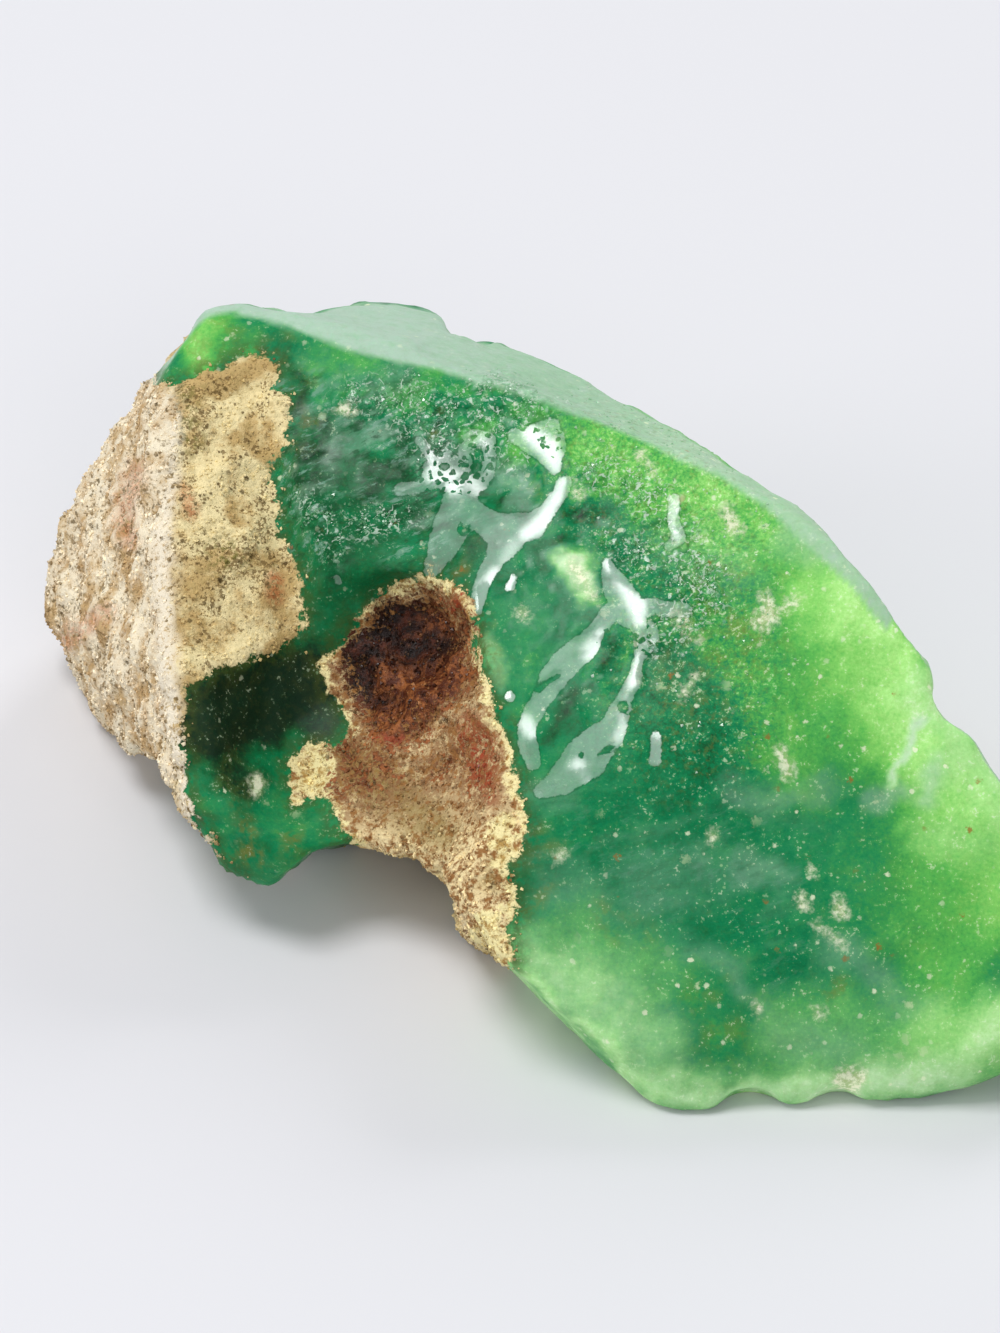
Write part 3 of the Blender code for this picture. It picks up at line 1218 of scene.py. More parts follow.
# The crust: its palest edges, partly painted highlight on lit rims; sunny places, where light is painted;
# and browned, dirty and mossy places.
PALE_AND_LIT_RIMS = (
    mark((176, 420, 2), (162, 560, 5), (168, 660, 7), (178, 740, 5), (186, 796, 5), (206, 852, 5),
        (238, 884, 5), soft=7), mark((462, 905, 3), (484, 960, 4), (514, 992, 4), soft=6),
)  # fmt: skip

SUNNY = (
    mark((236, 408, 8), (216, 440, 10), (204, 484, 12), (212, 524, 10), (246, 542, 10), soft=16),
    mark((270, 630, 8), (226, 656, 8), (196, 662, 6), soft=14),
)  # fmt: skip

BROWNED = (mark((200, 388, 8), (246, 372, 8), (262, 364, 6), soft=14),)

DIRTY = (mark((250, 508, 4), (262, 520, 6), soft=8), mark((196, 404, 8), (204, 440, 8), soft=10))

MOSSY = (mark((180, 400, 12), (184, 438, 10), soft=18), mark((226, 556, 12)))

# The hollow: yellow and khaki places, rust, small iron knots and the darkest iron.
YELLOWED = (
    mark((316, 776, 20), soft=16), mark((500, 826, 10), (504, 866, 8), soft=14),
    mark((486, 926, 10), (498, 958, 12), soft=12),
)  # fmt: skip

KHAKI = (mark((352, 764, 16), (400, 800, 22), (440, 832, 14), soft=24), mark((500, 880, 10)))

RUST = (
    mark((277, 582, 6), (274, 600, 6), soft=8), mark((140, 470, 6), (126, 512, 9), (134, 540, 6), soft=14),
    mark((108, 612, 6), (70, 640, 8), soft=12), mark((186, 490, 3), (192, 512, 4), soft=6),
    mark((474, 722, 8), (486, 750, 12), (488, 790, 9), soft=12),
    mark((446, 600, 4), (456, 605, 4), (468, 596, 3), soft=5), mark((400, 740, 2), (376, 740, 2), soft=6),
)  # fmt: skip

KNOTS = strokes(
    ((342, 746, 8), (352, 770, 4), (366, 784, 6)), (336, 790, 5), ((378, 758, 6), (392, 770, 3)),
    ((440, 770, 3), (470, 744, 2), (478, 780, 3)),
)  # fmt: skip

UMBER = (
    mark((412, 604, 14), (392, 626, 24), (358, 648, 20), (358, 690, 12)),
    mark((412, 650, 16), (452, 640, 6)), mark((388, 700, 4), (356, 700, 4), soft=12),
)  # fmt: skip

# The green: sugary quartz, the wet part, grey swirls and wisps, mottling, and a long ledge.
DRUSE = (
    mark((350, 400, 10), (400, 400, 20), (440, 430, 30), (480, 420, 30), (500, 400, 20), (540, 420, 12),
        soft=24), mark((310, 500, 8), (330, 540, 10)), mark((360, 524, 10), (410, 516, 10), soft=18),
    mark((500, 462, 10), (520, 462, 8), soft=12),
    mark((600, 470, 14), (650, 500, 14), (680, 540, 20), (700, 590, 22), (660, 640, 14), soft=26),
    mark((640, 560, 16), (604, 540, 8)),
)  # fmt: skip

WET = (mark((330, 420, 40), (470, 440, 70), (560, 540, 60), (600, 660, 50), soft=60),)

SWIRLS = (mark((300, 400, 24), (316, 540, 24), soft=24), mark((400, 440, 50), (420, 540, 26), soft=30))

WISPS = (mark((560, 820, 30), (660, 860, 50), (760, 840, 40), (780, 960, 30), soft=60),)

MOTTLED = (mark((600, 460, 50), (690, 540, 60), (690, 700, 70), soft=60),)

LEDGE = strokes(((290, 522, 3), (345, 506, 3), (400, 498, 3), (470, 482, 2)))

# Where the green is darker, lighter, milkier or browner; some marks paint shade, light or sheen, as noted.
# Later marks lie over earlier ones.
ZONES = (
    mark((400, 480, 130), soft=60, tone=0.31), mark((640, 820, 110), (700, 880, 90), soft=60, tone=0.35),
    mark((790, 900, 40), (780, 960, 20), soft=40, tone=0.37),
    mark((530, 850, 20), (530, 900, 16), soft=24, tone=0.36, warm=0.5),
    mark((350, 365, 22), (480, 415, 26), (600, 460, 34), soft=40, tone=0.56),
    mark((600, 450, 26), (700, 500, 46), (800, 570, 50), soft=50, tone=0.72),
    mark((740, 640, 60), soft=50, tone=0.58, warm=0.5),
    mark((810, 650, 30), (800, 760, 30), soft=50, tone=0.63, warm=0.1),
    # Partly painted light: the next four marks make the thin right end palest, as light shines through it.
    mark((840, 600, 34), (870, 660, 36), (890, 740, 30), soft=44, tone=0.8, warm=0.0),
    mark((860, 590, 12), (905, 650, 14), (912, 720, 14), (940, 770, 20), (1000, 850, 34), soft=36,
        tone=0.88), mark((960, 820, 50), soft=60, tone=0.8),
    mark((930, 690, 18), (970, 745, 18), (1010, 800, 18), soft=30, tone=0.88, milk=0.18),
    mark((838, 990, 10), soft=16, warm=0.55), mark((640, 930, 12), (600, 910, 8), warm=0.35),
    mark((860, 860, 30), (880, 900, 30), soft=50, tone=0.47, warm=0.1),
    mark((940, 900, 40), (950, 970, 30), soft=50, tone=0.65, warm=0.1),
    mark((1000, 900, 30), soft=40, tone=0.76),
    mark((570, 930, 24), (650, 960, 20), soft=44, tone=0.56, milk=0.12),
    mark((530, 960, 16), (590, 1000, 30), (640, 1040, 30), soft=40, tone=0.74, milk=0.34),
    mark((720, 985, 30), soft=40, tone=0.5),
    mark((720, 1000, 26), (720, 1042, 20), soft=30, tone=0.46, warm=0.3),
    mark((790, 1030, 30), (880, 1030, 24), soft=36, tone=0.6, milk=0.1),
    # Partly painted light: the bottom edge is made pale, as light shines through it.
    mark((650, 1090, 10), (760, 1092, 8), (860, 1088, 14), (960, 1066, 22), soft=30, tone=0.92, milk=0.42),
    mark((930, 1030, 20), (1000, 1040, 24), soft=36, tone=0.8, milk=0.12),
    # Partly painted light: the first mark here makes the lower front edge pale, as light shines through it.
    # The second, at (560, 780), paints a grey sheen low in the wet area.
    mark((470, 905, 3), (500, 960, 4), (560, 1012, 4), (612, 1050, 4), (650, 1096, 5), soft=10, tone=0.9,
        milk=0.3), mark((560, 780, 14), (540, 796, 8), soft=16, milk=0.14),
    mark((500, 468, 12), (522, 498, 10), soft=14, milk=0.3),
    mark((560, 620, 26), (545, 600, 18), soft=40, tone=0.34, milk=0.06),
    mark((536, 568, 10), (562, 540, 12), (590, 520, 10), soft=18, tone=0.26, milk=0.0),
    mark((886, 786, 2), (904, 756, 3), (920, 722, 4), soft=7, milk=0.6, tone=0.95),
    mark((900, 790, 8), (874, 800, 6), soft=14, milk=0.35),
    mark((938, 770, 8), (928, 800, 6), soft=14, milk=0.4),
    mark((732, 790, 6), (775, 800, 9), (832, 786, 5), soft=16, milk=0.2),
    mark((732, 862, 6), (785, 872, 6), soft=16, milk=0.2),
    mark((650, 880, 26), (700, 870, 18), soft=36, milk=0.12),
    mark((690, 942, 5), (730, 972, 8), (764, 1012, 8), soft=16, milk=0.18),
    mark((830, 952, 6), (866, 962, 9), (890, 990, 8), (930, 1010, 10), soft=18, milk=0.2),
    mark((545, 880, 8), (580, 900, 12), soft=30, milk=0.14),
    mark((790, 1040, 14), (840, 1050, 12), soft=22, milk=0.24),
    mark((985, 1040, 12), (1000, 1020, 14), soft=22, milk=0.28, tone=0.97),
    mark((568, 564, 8), (582, 578, 9), (592, 600, 4), soft=12, milk=0.5, tone=0.95, warm=0.2),
    mark((330, 440, 10), (318, 464, 8), soft=24, milk=0.26), mark((255, 344, 6), soft=10, warm=0.9),
    mark((215, 330, 16), (192, 362, 12), soft=18, tone=0.76, warm=0.4),
    mark((252, 342, 12), soft=16, tone=0.6, warm=0.6),
    mark((262, 352, 4), (270, 366, 5), soft=8, tone=0.3, warm=0.7),
    mark((434, 412, 6), (436, 434, 5), soft=6, tone=0.22, warm=1.0, milk=0.0),
    mark((286, 346, 8), (295, 368, 10), (300, 410, 8), soft=14, tone=0.34, warm=0.45, milk=0.0),
    mark((326, 420, 14), (318, 490, 12), tone=0.2),
    mark((350, 500, 12), (400, 470, 12), (430, 530, 8), soft=18, tone=0.22),
    mark((336, 556, 14), (390, 548, 10), soft=14, tone=0.22),
    mark((497, 488, 5), (494, 512, 4), soft=6, tone=0.2, milk=0.0),
    mark((542, 478, 5), (532, 494, 5), soft=6, tone=0.5, warm=0.3, milk=0.0),
    mark((474, 546, 6), (462, 564, 7), (446, 572, 5), soft=8, tone=0.28, warm=0.75, milk=0.0),
    mark((430, 392, 5), (470, 402, 6), (520, 420, 5), soft=14, tone=0.4, milk=0.0),
    mark((614, 640, 5), (606, 662, 6), soft=8, tone=0.24, milk=0.0),
    mark((596, 694, 5), (566, 712, 7), (546, 738, 5), soft=8, tone=0.2, milk=0.0),
    mark((640, 700, 16), (680, 660, 14), (700, 700, 20), soft=26, tone=0.33, warm=0.35),
    mark((296, 480, 8), (300, 560, 8), soft=16, tone=0.32, warm=0.2),
    mark((330, 376, 10), (400, 384, 10), soft=24, tone=0.47, milk=0.05),
    # Painted shade: the next four marks darken the green by the hollow's upper left and the recess under the
    # crust, which faces down; the milk in the third paints a faint reflection.
    mark((345, 560, 26), (330, 620, 20), soft=26, tone=0.24),
    mark((220, 720, 40), (290, 690, 46), soft=28, tone=0.0, warm=0.05, milk=0.0),
    mark((326, 716, 8), (312, 736, 8), soft=14, tone=0.05, milk=0.08),
    mark((236, 780, 20), soft=26, tone=0.08, warm=0.3),
    mark((250, 860, 14), (300, 840, 10), soft=22, tone=0.38, warm=0.7),
    mark((242, 816, 10), (256, 846, 8), soft=18, tone=0.26, warm=0.8),
    mark((372, 478, 14), soft=14, tone=0.12, milk=0.0),
    mark((916, 836, 8), (985, 846, 12), tone=0.78, milk=0.08),
    mark((672, 545, 14), (735, 566, 16), soft=30, milk=0.14),
    mark((786, 540, 10), (806, 556, 8), soft=18, milk=0.26),
    mark((312, 420, 10), (306, 480, 8), soft=14, tone=0.12, milk=0.0),
    mark((486, 638, 5), (494, 658, 7), (500, 680, 5), soft=9, tone=0.64, warm=0.75, milk=0.3),
    mark((290, 360, 4), (297, 384, 6), (300, 420, 5), soft=9, tone=0.16, warm=0.6, milk=0.0),
    mark((516, 566, 5), (534, 558, 5), soft=8, tone=0.3, milk=0.0),
)  # fmt: skip


@dataclass(frozen=True)
class Survey:
    """Where each point of the skin lies and how it faces, with the noises that the layers share."""

    points: Array  # mm
    normals: Array  # smoothed
    toward: Array  # how far a point faces the eye, -1 to 1
    facing: Array  # 0 behind to 1 in front
    plain: Array  # places on the chart
    stray: Array  # chart units, which ruffle the marks
    cloud: Array  # about -1 to 1, small swells
    broad: Array  # about -1 to 1, large swells

    @classmethod
    def of(cls, skin: FoldedSquare, sight: Sight, rounds: int = 6, reach: float = 9.0) -> "Survey":
        """Surveys a skin.

        Args:
            skin: the skin.
            sight: gives the chart.
            rounds: how often its normals are evened.
            reach: how far the marks stray, in chart units.

        Returns:
            The survey.
        """
        points = skin.points
        normals = skin.evened(skin.normals(), rounds)
        toward = sight.toward(normals)
        facing = ease(toward, -0.05, 0.22)
        stray = bends(points, 2.4, 3, (11, 12)) * reach
        cloud, broad = hills(points, 1.6, 2, 23), hills(points, 6.5, 3, 24)
        return cls(points, normals, toward, facing, sight.spots(points), stray, cloud, broad)

    def spots(self, share: float = 0.6) -> Array:
        """Returns the places on the chart, moved by a share of the stray."""
        return self.plain + self.stray * share

    def front(self, ahead: Array | float, behind: float) -> Array:
        """Blends from what is ahead, where the front shows, to what is behind it."""
        return self.facing * ahead + (1.0 - self.facing) * behind

    def strongest(self, marks: Sequence[Stroke], spots: Array | None = None) -> Array:
        """Takes the strongest of some marks, on the front only.

        Args:
            marks: the marks.
            spots: chart places, the usual ones where none are given.

        Returns:
            Shares from 0 to 1.
        """
        on = self.spots() if spots is None else spots
        return self.facing * np.max([each.share(on) for each in marks], axis=0)


@dataclass
class Stone:
    """The stone's skin, its layers and its finish.

    Lengths are in mm, and depths named in chart units are about 0.065 mm each.
    """

    sight: Sight = field(default_factory=Sight)
    first_count: int = 40
    start_size: float = 0.65  # of the solid's box
    calm: tuple[int, ...] = (80, 30, 14, 6)
    soft_pulls: tuple[float, ...] = (0.5, -0.52) * 4
    away: float = -60.0  # chart units, a depth that is surely outside
    # Between the shining places the film keeps this much gloss and painted highlight.
    dull: float = 0.07  # the film's gloss between its shining places
    lean_rounds: int = 30
    spread_rounds: int = 150
    calm_rounds: int = 40
    proud: float = 0.22
    finish: StoneFinish = field(default_factory=StoneFinish)
    skin: FoldedSquare | None = None
    layers: dict[str, Array] = field(default_factory=dict)
    low: Array | None = None
    high: Array | None = None

    def lay(self, solid: bpy.types.Object) -> None:
        """Draws the folded square onto the solid, coarse to fine.

        Each round moves every point to the mean of its neighbours and back onto
        the solid, so that the points spread evenly.

        Args:
            solid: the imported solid.
        """
        middle, half = (self.low + self.high) / 2, (self.high - self.low) * self.start_size
        square = FoldedSquare.around(self.first_count, middle, half, self.sight)
        square.drawn_onto(solid)
        rounds = self.calm
        for step, count in enumerate(rounds):
            if step:
                square = square.finer()
            for _ in range(count):
                square.points = square.even(square.points)
                square.drawn_onto(solid)
        self.skin = square

    def soften(self) -> None:
        """Takes the solid's facets away without shrinking it.

        Each pull moves a point that share of the way to its neighbours' mean,
        or away from it where the share is under 0.
        """
        skin = self.skin
        for pull in self.soft_pulls:
            skin.points += pull * (skin.even(skin.points) - skin.points)

    def zone(self) -> None:
        """Works out the layers: which part of the surface is what."""
        survey = Survey.of(self.skin, self.sight)
        self.map_rind(survey)
        self.map_crust(survey)
        self.map_film(survey)
        self.map_green(survey)
        self.map_top(survey)

    def map_rind(self, on: Survey) -> None:
        """Maps the rind, the ochre hollow and the iron, from outlines in front and noises behind.

        Args:
            on: the survey.
        """
        layers, spots, height = self.layers, on.spots(), on.points[..., 2]
        fray = bends(on.points, 1.1, 2, (13, 14)) * 7.0
        hollow, crust = (outline_depth(edge, spots + fray) for edge in (HOLLOW_EDGE, CRUST_EDGE))
        left_end = (-24.0 - on.points[..., 0]) * 12.0 + hills(on.points, 6.0, 3, 21) * 70.0
        patch = hills(on.points, 11.0, 5, 22) * 130.0 - 34.0 + ease(height, 9.0, 1.0) * 26.0
        patch -= ease(height, 12.0, 22.0) * 60.0 + 120.0 * ease(on.toward, -0.4, -0.1)
        over = ease(on.toward, -0.34, -0.10)
        layers["rind"] = over * np.maximum(crust, hollow) + (1.0 - over) * np.maximum(left_end, patch)
        iron = np.maximum(outline_depth(IRON_EDGE, on.spots(1.6)), deepest(KNOTS, spots))
        layers["iron"] = on.front(iron, self.away)
        layers["ochre"] = on.facing * ease(hollow, -14.0, 2.0)
        yellow = np.max([each.share(spots) for each in YELLOWED], axis=0)
        layers["rim"] = np.maximum(0.75 * ease(hollow, 22.0, 2.0), yellow)
        for name, marks in {"khaki": KHAKI, "rust": RUST, "umber": UMBER}.items():
            layers[name] = on.strongest(marks)

    def map_crust(self, on: Survey) -> None:
        """Maps the crust's streaked left end, its light and dirty sand, and its moss.

        Args:
            on: the survey.
        """
        layers, p = self.layers, on.points
        x, y = on.plain[..., 0], on.plain[..., 1]
        layers["flank"] = ease(172.0 - x + 8.0 * swell(p, 3.0, 31), -14.0, 10.0)
        streak = swell(p * (1.5, 1.2, 0.45), 1.1, 32) + 0.6 * hills(p * (1.5, 1.2, 0.6), 2.6, 2, 33)
        layers["streak"] = 0.55 + 0.55 * streak
        layers["pale"] = on.strongest(PALE_AND_LIT_RIMS, on.spots(0.3))
        # Painted light: the sunny places make the sand lighter.
        light = on.strongest(SUNNY)
        lower = ease(y, 520.0, 640.0)
        sand = 0.5 + 0.8 * hills(p, 2.4, 3, 34) - 0.16 * lower + 0.6 * light
        layers["sand"] = sand - 0.7 * on.strongest(BROWNED)
        band = ease(y, 470.0, 560.0) - ease(y, 600.0, 640.0)
        dirt = 0.45 + 1.6 * hills(p, 1.8, 3, 35) + 0.3 * (band - light) + on.strongest(DIRTY)
        layers["dirt"] = np.clip(dirt, 0.0, 1.0)
        layers["moss"] = on.strongest(MOSSY) + 0.25

    def map_film(self, on: Survey) -> None:
        """Maps the water-smooth patches, their gloss with its painted highlight, and their lacy places.

        Args:
            on: the survey.
        """
        layers, spots = self.layers, on.spots(0.2)
        layers["film"] = on.front(np.minimum(deepest(FILM, spots), -deepest(BARE, spots)), self.away)
        layers["shine"] = np.full(on.facing.shape, self.dull)
        for each in GLOSS_AND_PAINTED_HIGHLIGHT:
            layers["shine"] += each.share(spots) * (each.values["shine"] - layers["shine"])
        layers["lace"] = on.strongest(LACY, on.plain)

    def map_green(self, on: Survey) -> None:
        """Maps the green's depth, its milk with some painted sheen and its warmth, and where it is sugary,
        swirled, mottled and dusty.

        Args:
            on: the survey.
        """
        layers, x = self.layers, on.plain[..., 0]
        for name, start in {"tone": 0.42, "milk": 0.0, "warm": 0.0}.items():
            layers[name] = np.full(on.facing.shape, start)
        for each in ZONES:
            share = each.share(on.spots(1.6))
            for name, value in each.values.items():
                layers[name] += share * (value - layers[name])
        layers["cream"] = on.front(deepest(CREAM, on.spots()), self.away)
        layers["wet"], layers["druse"] = on.strongest(WET), on.strongest(DRUSE)
        layers["swirl"] = on.front(0.0, 0.35) + 0.24 * on.strongest(WISPS) + on.strongest(SWIRLS)
        layers["mottle"] = on.front(0.20, 0.4) + 0.80 * on.strongest(MOTTLED)
        dust = on.front(0.35 + 0.5 * ease(x, 560.0, 700.0), 0.4)
        layers["flour"] = np.clip(dust + on.cloud, 0.0, 1.0)

    def top_milk_and_painted_reflection(self, on: Survey, lean: Array, normals: Array) -> Array:
        """Finds the top face, where the grazing reflection of the bright surroundings is painted as milk,
        running out in a ragged, milky way over the back edge.

        Args:
            on: the survey.
            lean: how far the much smoothed normals lean to the eye.
            normals: those normals.

        Returns:
            Shares from 0 to 1.
        """
        grazing = ease(lean, 0.44, 0.30) * ease(normals[..., 2], 0.3, 0.6)
        painted_reflection_and_milk = np.maximum(ease(outline_depth(TOP_EDGE, on.spots(0.15)), -3.0, 4.0), grazing)
        painted_reflection_and_milk = painted_reflection_and_milk * ease(lean, -0.12, 0.10)
        spread = self.skin.evened(painted_reflection_and_milk, self.spread_rounds) + 0.5 * on.broad + 0.35 * on.cloud
        behind = ease(lean, 0.06, -0.12)
        return np.maximum(painted_reflection_and_milk * (1.0 - behind), behind * ease(spread, 0.20, 0.75))

    def map_top(self, on: Survey) -> None:
        """Lays clouds, cracks and veils over the green, and the top face's painted reflection and the
        marbled back over them.

        Args:
            on: the survey.
        """
        layers, p, x = self.layers, on.points, on.plain[..., 0]
        tone, milk, wet = layers["tone"], layers["milk"], layers["wet"]
        fold = hills(p * (1.0, 0.8, 1.2), 5.0, 4, 26)
        veil = ease(fold, 0.02, 0.08) * (1.0 - ease(fold, 0.08, 0.5)) * ease(tone, 0.1, 0.3)
        normals = self.skin.evened(on.normals, self.lean_rounds)
        lean = self.sight.toward(normals)
        painted_reflection_and_milk = self.top_milk_and_painted_reflection(on, lean, normals)
        behind = ease(lean, 0.06, -0.12)
        calm_end = 1.0 - 0.75 * on.facing * ease(x, 760.0, 880.0)
        tone += (0.05 * on.broad + 0.07 * on.cloud) * ease(tone, 0.0, 0.3) * calm_end
        tone += 0.09 * np.tanh(3.0 * hills(p * (0.8, 1.0, 1.5), 1.7, 3, 36)) * wet
        crack = ease(1.0 - np.abs(hills(p, 2.2, 3, 37)) * 9.0, 0.3, 0.9)
        milk += 0.30 * crack * wet * ease(on.cloud, -0.1, 0.3)
        veil *= ease(on.broad, -0.3, 0.2) * (1.0 - painted_reflection_and_milk)
        milk += 0.02 * veil
        tone += 0.04 * veil
        flow = np.array(self.finish.flow)
        drawn = p - 0.70 * (p @ flow)[..., None] * flow
        milk += 0.22 * ease(hills(drawn, 1.5, 4, 38), 0.10, 0.45) * layers["swirl"]
        marble = hills((p + bends(p, 3.6, 3, (71, 72, 73)) * 2.6) * (0.7, 1.0, 1.3), 7.5, 5, 27)
        milk += behind * (0.46 * ease(marble, 0.0, 0.42) - milk) * (1.0 - painted_reflection_and_milk)
        tone += behind * 0.14 * ease(marble, -0.02, -0.5) * (1.0 - painted_reflection_and_milk)
        thread = ease(np.abs(hills(p * (0.35, 1.0, 1.0), 2.4, 3, 39)), 0.06, 0.0)
        # Painted reflection: the top face gets much milk and a paler green.
        milk += painted_reflection_and_milk * (0.70 - 0.30 * behind + 0.14 * thread + 0.2 * ease(x, 560.0, 380.0) - milk)
        tone += painted_reflection_and_milk * (0.66 + 0.12 * ease(x, 560.0, 700.0) - tone)
        layers["warm"] *= (1.0 - painted_reflection_and_milk) * ease(on.cloud, -0.3, 0.4)
        # Painted glow: where the green is palest, more on the front, less on the top face.
        layers["glow"] = ease(tone, 0.66, 0.95) * (0.3 + 0.7 * on.facing) * (1.0 - 0.7 * painted_reflection_and_milk)

    def crust_relief(self, p: Array) -> Array:
        """Heights of the crust: lumps, less round pits, with streaks on the left end.

        Args:
            p: places in mm.

        Returns:
            Heights in mm.
        """
        flank = self.layers["flank"]
        (wide, wide_pick), (small, small_pick) = crumbs(p, 1.25, 41), crumbs(p, 0.62, 42)
        pits = 0.34 * ease(wide, 0.55, 0.15) * (wide_pick > 0.55)
        pits += 0.14 * ease(small, 0.5, 0.1) * (small_pick > 0.5)
        long = p * (1.7, 1.3, 0.5)
        streaks = swell(long, 1.3, 43) + 0.5 * swell(long, 0.6, 44)
        return self.proud + 0.40 * hills(p, 3.0, 4, 45) - pits * (1.0 - 0.5 * flank) + 0.30 * flank * streaks

    def iron_relief(self, p: Array) -> Array:
        """Returns the iron's heights in mm: round knobs, large and small, on low hills."""
        knobs, tiny = crumbs(p, 1.5, 46)[0], crumbs(p, 0.7, 47)[0]
        return 0.45 * (0.6 - knobs) + 0.22 * (0.5 - tiny) + 0.3 * hills(p, 2.0, 3, 48) - 0.15

    def green_relief(self, p: Array) -> Array:
        """Heights of the green: shell-shaped bowls with rings, vugs in the druse, and a ledge.

        Args:
            p: places in mm.

        Returns:
            Heights in mm.
        """
        layer = self.layers
        (vug, vug_pick), (fine, _) = crumbs(p, 1.15, 49), crumbs(p, 0.6, 50)
        druse = 0.30 * (0.5 - vug) - 0.36 * ease(vug, 0.4, 0.1) * (vug_pick > 0.6) + 0.14 * (0.5 - fine)
        size = 8.5
        bowl = crumbs(p * (1.0, 1.0, 1.3), size, 51)[0]
        rough = (0.05 + 0.12 * layer["wet"]) * hills(p, 1.6, 3, 53)
        deep = 0.30 + 0.70 * ease(self.sight.toward(self.skin.normals()), 0.1, -0.2)
        shell = deep * (bowl * bowl - 0.25) + 0.05 * swell(p, 5.0, 52) + rough
        green = shell * (1.0 - 0.6 * layer["druse"]) + layer["druse"] * druse
        rings = 0.05 * np.sin(bowl * size * 3.2) * ease(bowl, 0.2, 0.5)
        green += rings * ease(swell(p, 7.0, 54), 0.0, 0.3)
        ledge = deepest(LEDGE, self.sight.spots(p))
        return green + 0.16 * ease(ledge, -9.0, 0.0) - 0.26 * ease(ledge, -3.0, 2.0)

    def relieve(self) -> None:
        """Raises and sinks the skin along its normals.

        Water has smoothed the film's patches, and the foot stays flat.
        """
        skin, layer = self.skin, self.layers
        film = ease(layer["film"], -6.0, 4.0)
        calm = skin.evened(skin.points, self.calm_rounds)
        p = skin.points + 0.9 * film[..., None] * (calm - skin.points)
        rind = ease(layer["rind"], -4.0, 6.0)
        height = self.green_relief(p) * (1.0 - 0.8 * film) + 0.05 * film
        height += rind * (self.crust_relief(p) - height)
        height += ease(layer["iron"], -8.0, 8.0) * rind * (self.iron_relief(p) - height)
        height *= ease(p[..., 2], 0.05, 0.6)
        normals = skin.evened(skin.normals(), 2)
        normals /= np.linalg.norm(normals, axis=-1, keepdims=True)
        skin.points = p + normals * height[..., None]

    def build(self, solid: bpy.types.Object) -> bpy.types.Object:
        """Makes the stone, keeps it inside the solid's box, and dresses it.

        Args:
            solid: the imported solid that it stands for.

        Returns:
            The finished piece.
        """
        self.low, self.high = (np.array(corner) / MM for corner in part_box(NODE))
        self.lay(solid)
        self.soften()
        self.zone()
        self.relieve()
        self.skin.points = np.clip(self.skin.points, self.low, self.high)
        mesh = self.skin.mesh("chrysoprase_skin")
        kept, _ = self.skin.joined()
        for name, values in self.layers.items():
            write_layer(mesh, name, values.reshape(-1)[kept])
        mesh.materials.append(self.finish.material())
        return put("chrysoprase_skin", mesh)


@dataclass(frozen=True)
class Grains:
    """Loose grains that stand on part of the skin, joined in one piece."""

    name: str
    count: int
    reach: tuple[float, float]  # mm, the least and the greatest
    seed: int
    layers: tuple[str, ...]
    lift: float = 0.25  # of a grain's reach
    tips: int = 6
    faces: tuple[tuple[int, int, int], ...] = (
        (0, 2, 4), (2, 1, 4), (1, 3, 4), (3, 0, 4), (2, 0, 5), (1, 2, 5), (3, 1, 5), (0, 3, 5),
    )  # fmt: skip

    def build(self, stone: Stone, share: Array, material: bpy.types.Material) -> bpy.types.Object:
        """Strews the grains.

        A grain has eight faces on six tips, which stand on three crossed axes
        turned at random, each tip 0.6 to 1.3 times the grain's reach away.

        Args:
            stone: carries them.
            share: how crowded they are, for each point of the skin.
            material: their finish.

        Returns:
            The joined grains.
        """
        luck = np.random.default_rng(self.seed)
        spread = stone.skin.scattered(self.count, share, luck)
        low, high = self.reach
        reach = low + (high - low) * luck.random(self.count) ** 2.0
        first, other = luck.normal(size=(2, self.count, 3))
        first /= np.linalg.norm(first, axis=-1, keepdims=True)
        third = np.cross(first, other)
        third /= np.linalg.norm(third, axis=-1, keepdims=True)
        second = np.cross(third, first)
        ways = np.stack([first, -first, second, -second, third, -third], 1)
        arms = reach[:, None, None] * (0.6 + 0.7 * luck.random((self.count, self.tips, 1)))
        up = spread.take(stone.skin.normals()) * reach[:, None] * self.lift
        middle = spread.take(stone.skin.points) + up
        tips = np.clip(middle[:, None] + ways * arms, stone.low, stone.high).reshape(-1, 3)
        steps = np.arange(self.count)[:, None, None] * self.tips
        mesh = bpy.data.meshes.new(self.name)
        mesh.from_pydata((tips * MM).tolist(), [], (np.array(self.faces) + steps).reshape(-1, 3).tolist())
        values = {name: spread.take(stone.layers[name]) for name in self.layers}
        values["pick"] = luck.random(self.count)
        for name, value in values.items():
            write_layer(mesh, name, np.repeat(value, self.tips))
        mesh.materials.append(material)
        return put(self.name, mesh)


RIND_LAYERS = (
    "iron", "ochre", "rim", "flank", "streak", "sand", "dirt", "moss", "khaki", "rust", "umber", "pale",
)  # fmt: skip
GREEN_LAYERS = ("tone", "milk", "warm", "rind", "mottle")
GRIT = Grains("crust_grit", 23000, (0.05, 0.19), 5, RIND_LAYERS)
DRUSE_GRAINS = Grains("quartz_druse", 3600, (0.04, 0.15), 6, GREEN_LAYERS, -0.15)


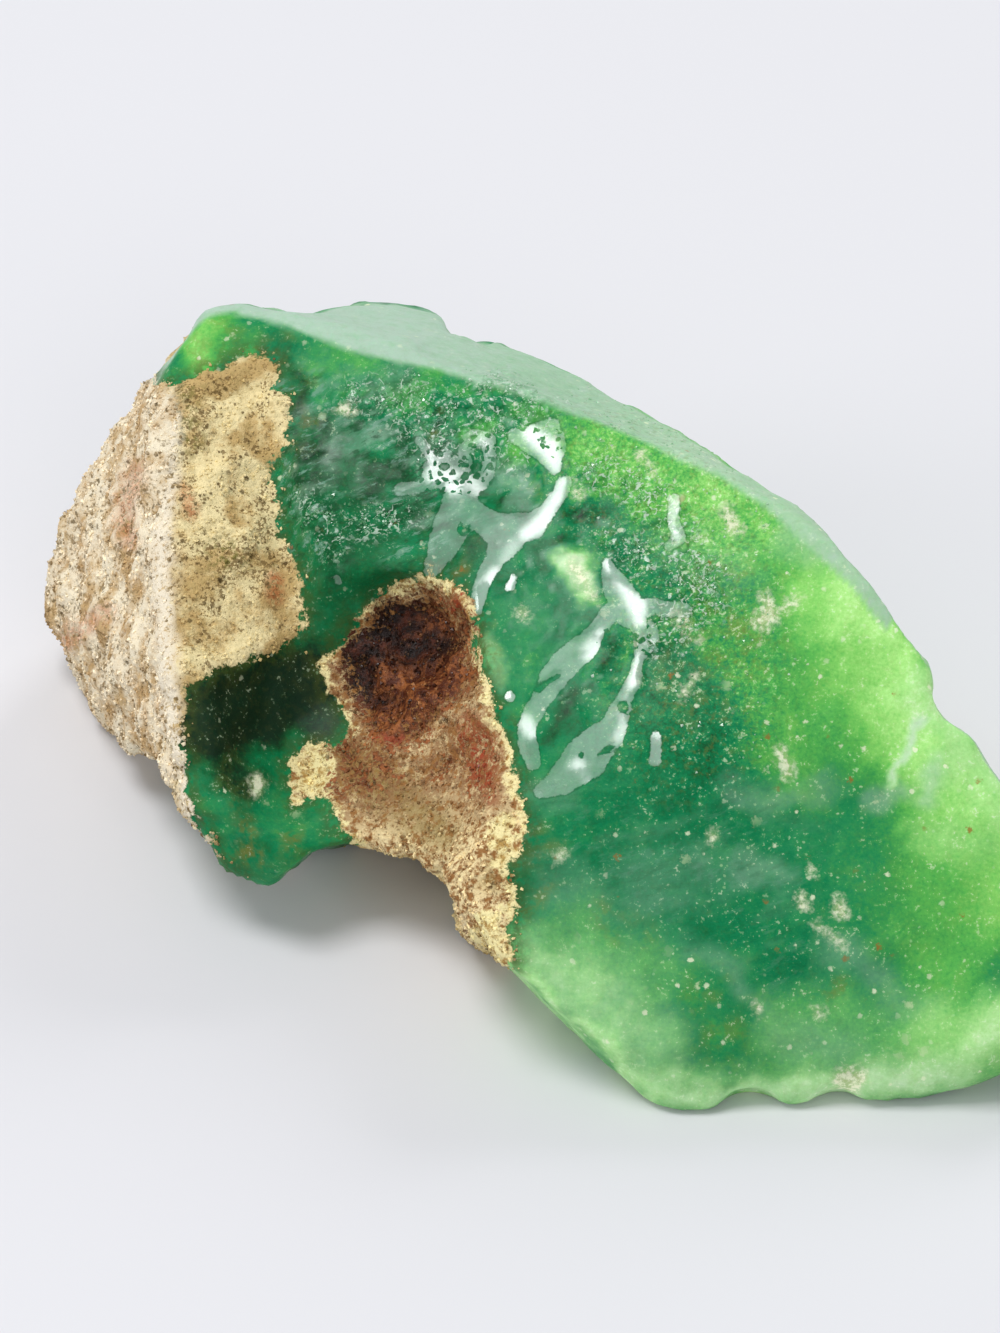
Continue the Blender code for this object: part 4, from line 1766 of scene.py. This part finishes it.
def strewn(stone: Stone) -> list[bpy.types.Object]:
    """Strews the crust's grit and the druse's crystals.

    Args:
        stone: carries them, already built.

    Returns:
        The two pieces.
    """
    layer, points = stone.layers, stone.skin.points
    film = ease(layer["film"], -8.0, -2.0)
    on_crust = ease(layer["rind"], -9.0, 5.0) ** 2 + 0.012 * ease(layer["rind"], -20.0, -8.0)
    lumps = ease(hills(points, 1.1, 3, 61), 0.08, 0.4)
    sugary = layer["druse"] ** 2 * lumps + 0.03 * layer["flour"] * ease(layer["mottle"], 0.2, 1.0)
    on_green = sugary * (1.0 - film) * (1.0 - ease(layer["rind"], -8.0, 0.0))
    return [
        GRIT.build(stone, on_crust * (1.0 - film), GritFinish().material()),
        DRUSE_GRAINS.build(stone, on_green, CrystalFinish().material()),
    ]


# -------------------------------------------------------------------- the studio


@dataclass(frozen=True)
class Softbox:
    """A soft light that looks at the stone, and its place round it."""

    name: str
    turn: float  # degrees round from the viewer's side, to the right
    rise: float  # degrees above the floor
    away: float  # m from the stone
    size: tuple[float, float]  # m
    power: float  # W
    middle: Triple = (0.0, 0.0, 0.015)  # m, what it looks at

    def hang(self) -> None:
        """Hangs the light."""
        data = bpy.data.lights.new(self.name, "AREA")
        data.shape, data.energy = "RECTANGLE", self.power
        data.size, data.size_y = self.size
        a, e = math.radians(self.turn), math.radians(self.rise)
        way = Vector((math.sin(a) * math.cos(e), -math.cos(a) * math.cos(e), math.sin(e)))
        aimed = (-way).to_track_quat("-Z", "Y").to_matrix().to_4x4()
        put(self.name, data).matrix_world = Matrix.Translation(Vector(self.middle) + way * self.away) @ aimed


@dataclass
class Studio:
    """The camera, the soft lights and the floor."""

    sight: Sight = field(default_factory=Sight)
    floor: FloorFinish = field(default_factory=FloorFinish)
    floor_side: float = 6.0  # m
    clip: tuple[float, float] = (0.01, 20.0)  # m, the nearest and farthest that the camera sees
    sky_colour: Triple = (0.95, 0.97, 1.0)
    sky_strength: float = 0.36
    lights: tuple[Softbox, ...] = (
        Softbox("overhead", -85.0, 71.0, 0.60, (0.23, 0.23), 2.1),
        Softbox("front_fill", 14.0, 34.0, 0.80, (0.50, 0.30), 1.2),
        Softbox("left_fill", -72.0, 22.0, 0.70, (0.30, 0.30), 1.0),
        Softbox("back_glow", 150.0, 35.0, 0.70, (0.30, 0.30), 1.6),
    )

    def camera(self) -> None:
        """Sets the camera on the line of sight."""
        data = bpy.data.cameras.new("sight")
        data.lens, data.sensor_width, data.sensor_fit = self.sight.lens, self.sight.sensor, "AUTO"
        data.clip_start, data.clip_end = self.clip
        camera = put("sight", data)
        eye, aim = Vector(self.sight.eye) * MM, Vector(self.sight.aim) * MM
        turned = (aim - eye).to_track_quat("-Z", "Y").to_matrix().to_4x4()
        camera.matrix_world = Matrix.Translation(eye) @ turned
        bpy.context.scene.camera = camera

    def sky(self) -> None:
        """Fills the surroundings with even pale light."""
        world = bpy.data.worlds.new("pale_room")
        world.use_nodes = True
        back = world.node_tree.nodes["Background"]
        back.inputs["Color"].default_value = (*self.sky_colour, 1.0)
        back.inputs["Strength"].default_value = self.sky_strength
        bpy.context.scene.world = world

    def lay_floor(self) -> bpy.types.Object:
        """Lays the floor under the stone.

        Returns:
            Nothing, since mark_backdrop gives back None.
        """
        h = self.floor_side / 2
        mesh = bpy.data.meshes.new("floor")
        mesh.from_pydata([(-h, -h, 0), (h, -h, 0), (h, h, 0), (-h, h, 0)], [], [(0, 1, 2, 3)])
        mesh.materials.append(self.floor.material())
        floor = put("floor", mesh)
        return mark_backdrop(floor)

    def build(self) -> None:
        """Sets up everything round the stone."""
        self.camera()
        self.lay_floor()
        for light in self.lights:
            light.hang()
        self.sky()


def main() -> None:
    """Builds the studio and the stone."""
    logging.basicConfig(level=logging.INFO, format="%(name)s: %(message)s")
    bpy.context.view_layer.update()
    bpy.context.scene.view_settings.view_transform = "Standard"
    Studio().build()
    log.info("studio: camera, floor and lights")
    stone = Stone()
    skin = stone.build(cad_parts[NODE])
    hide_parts(NODE)
    for piece in (skin, *strewn(stone)):
        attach(piece, BODY)
        log.info("%s: %d faces", piece.name, len(piece.data.polygons))


if __name__ == "__main__":
    main()
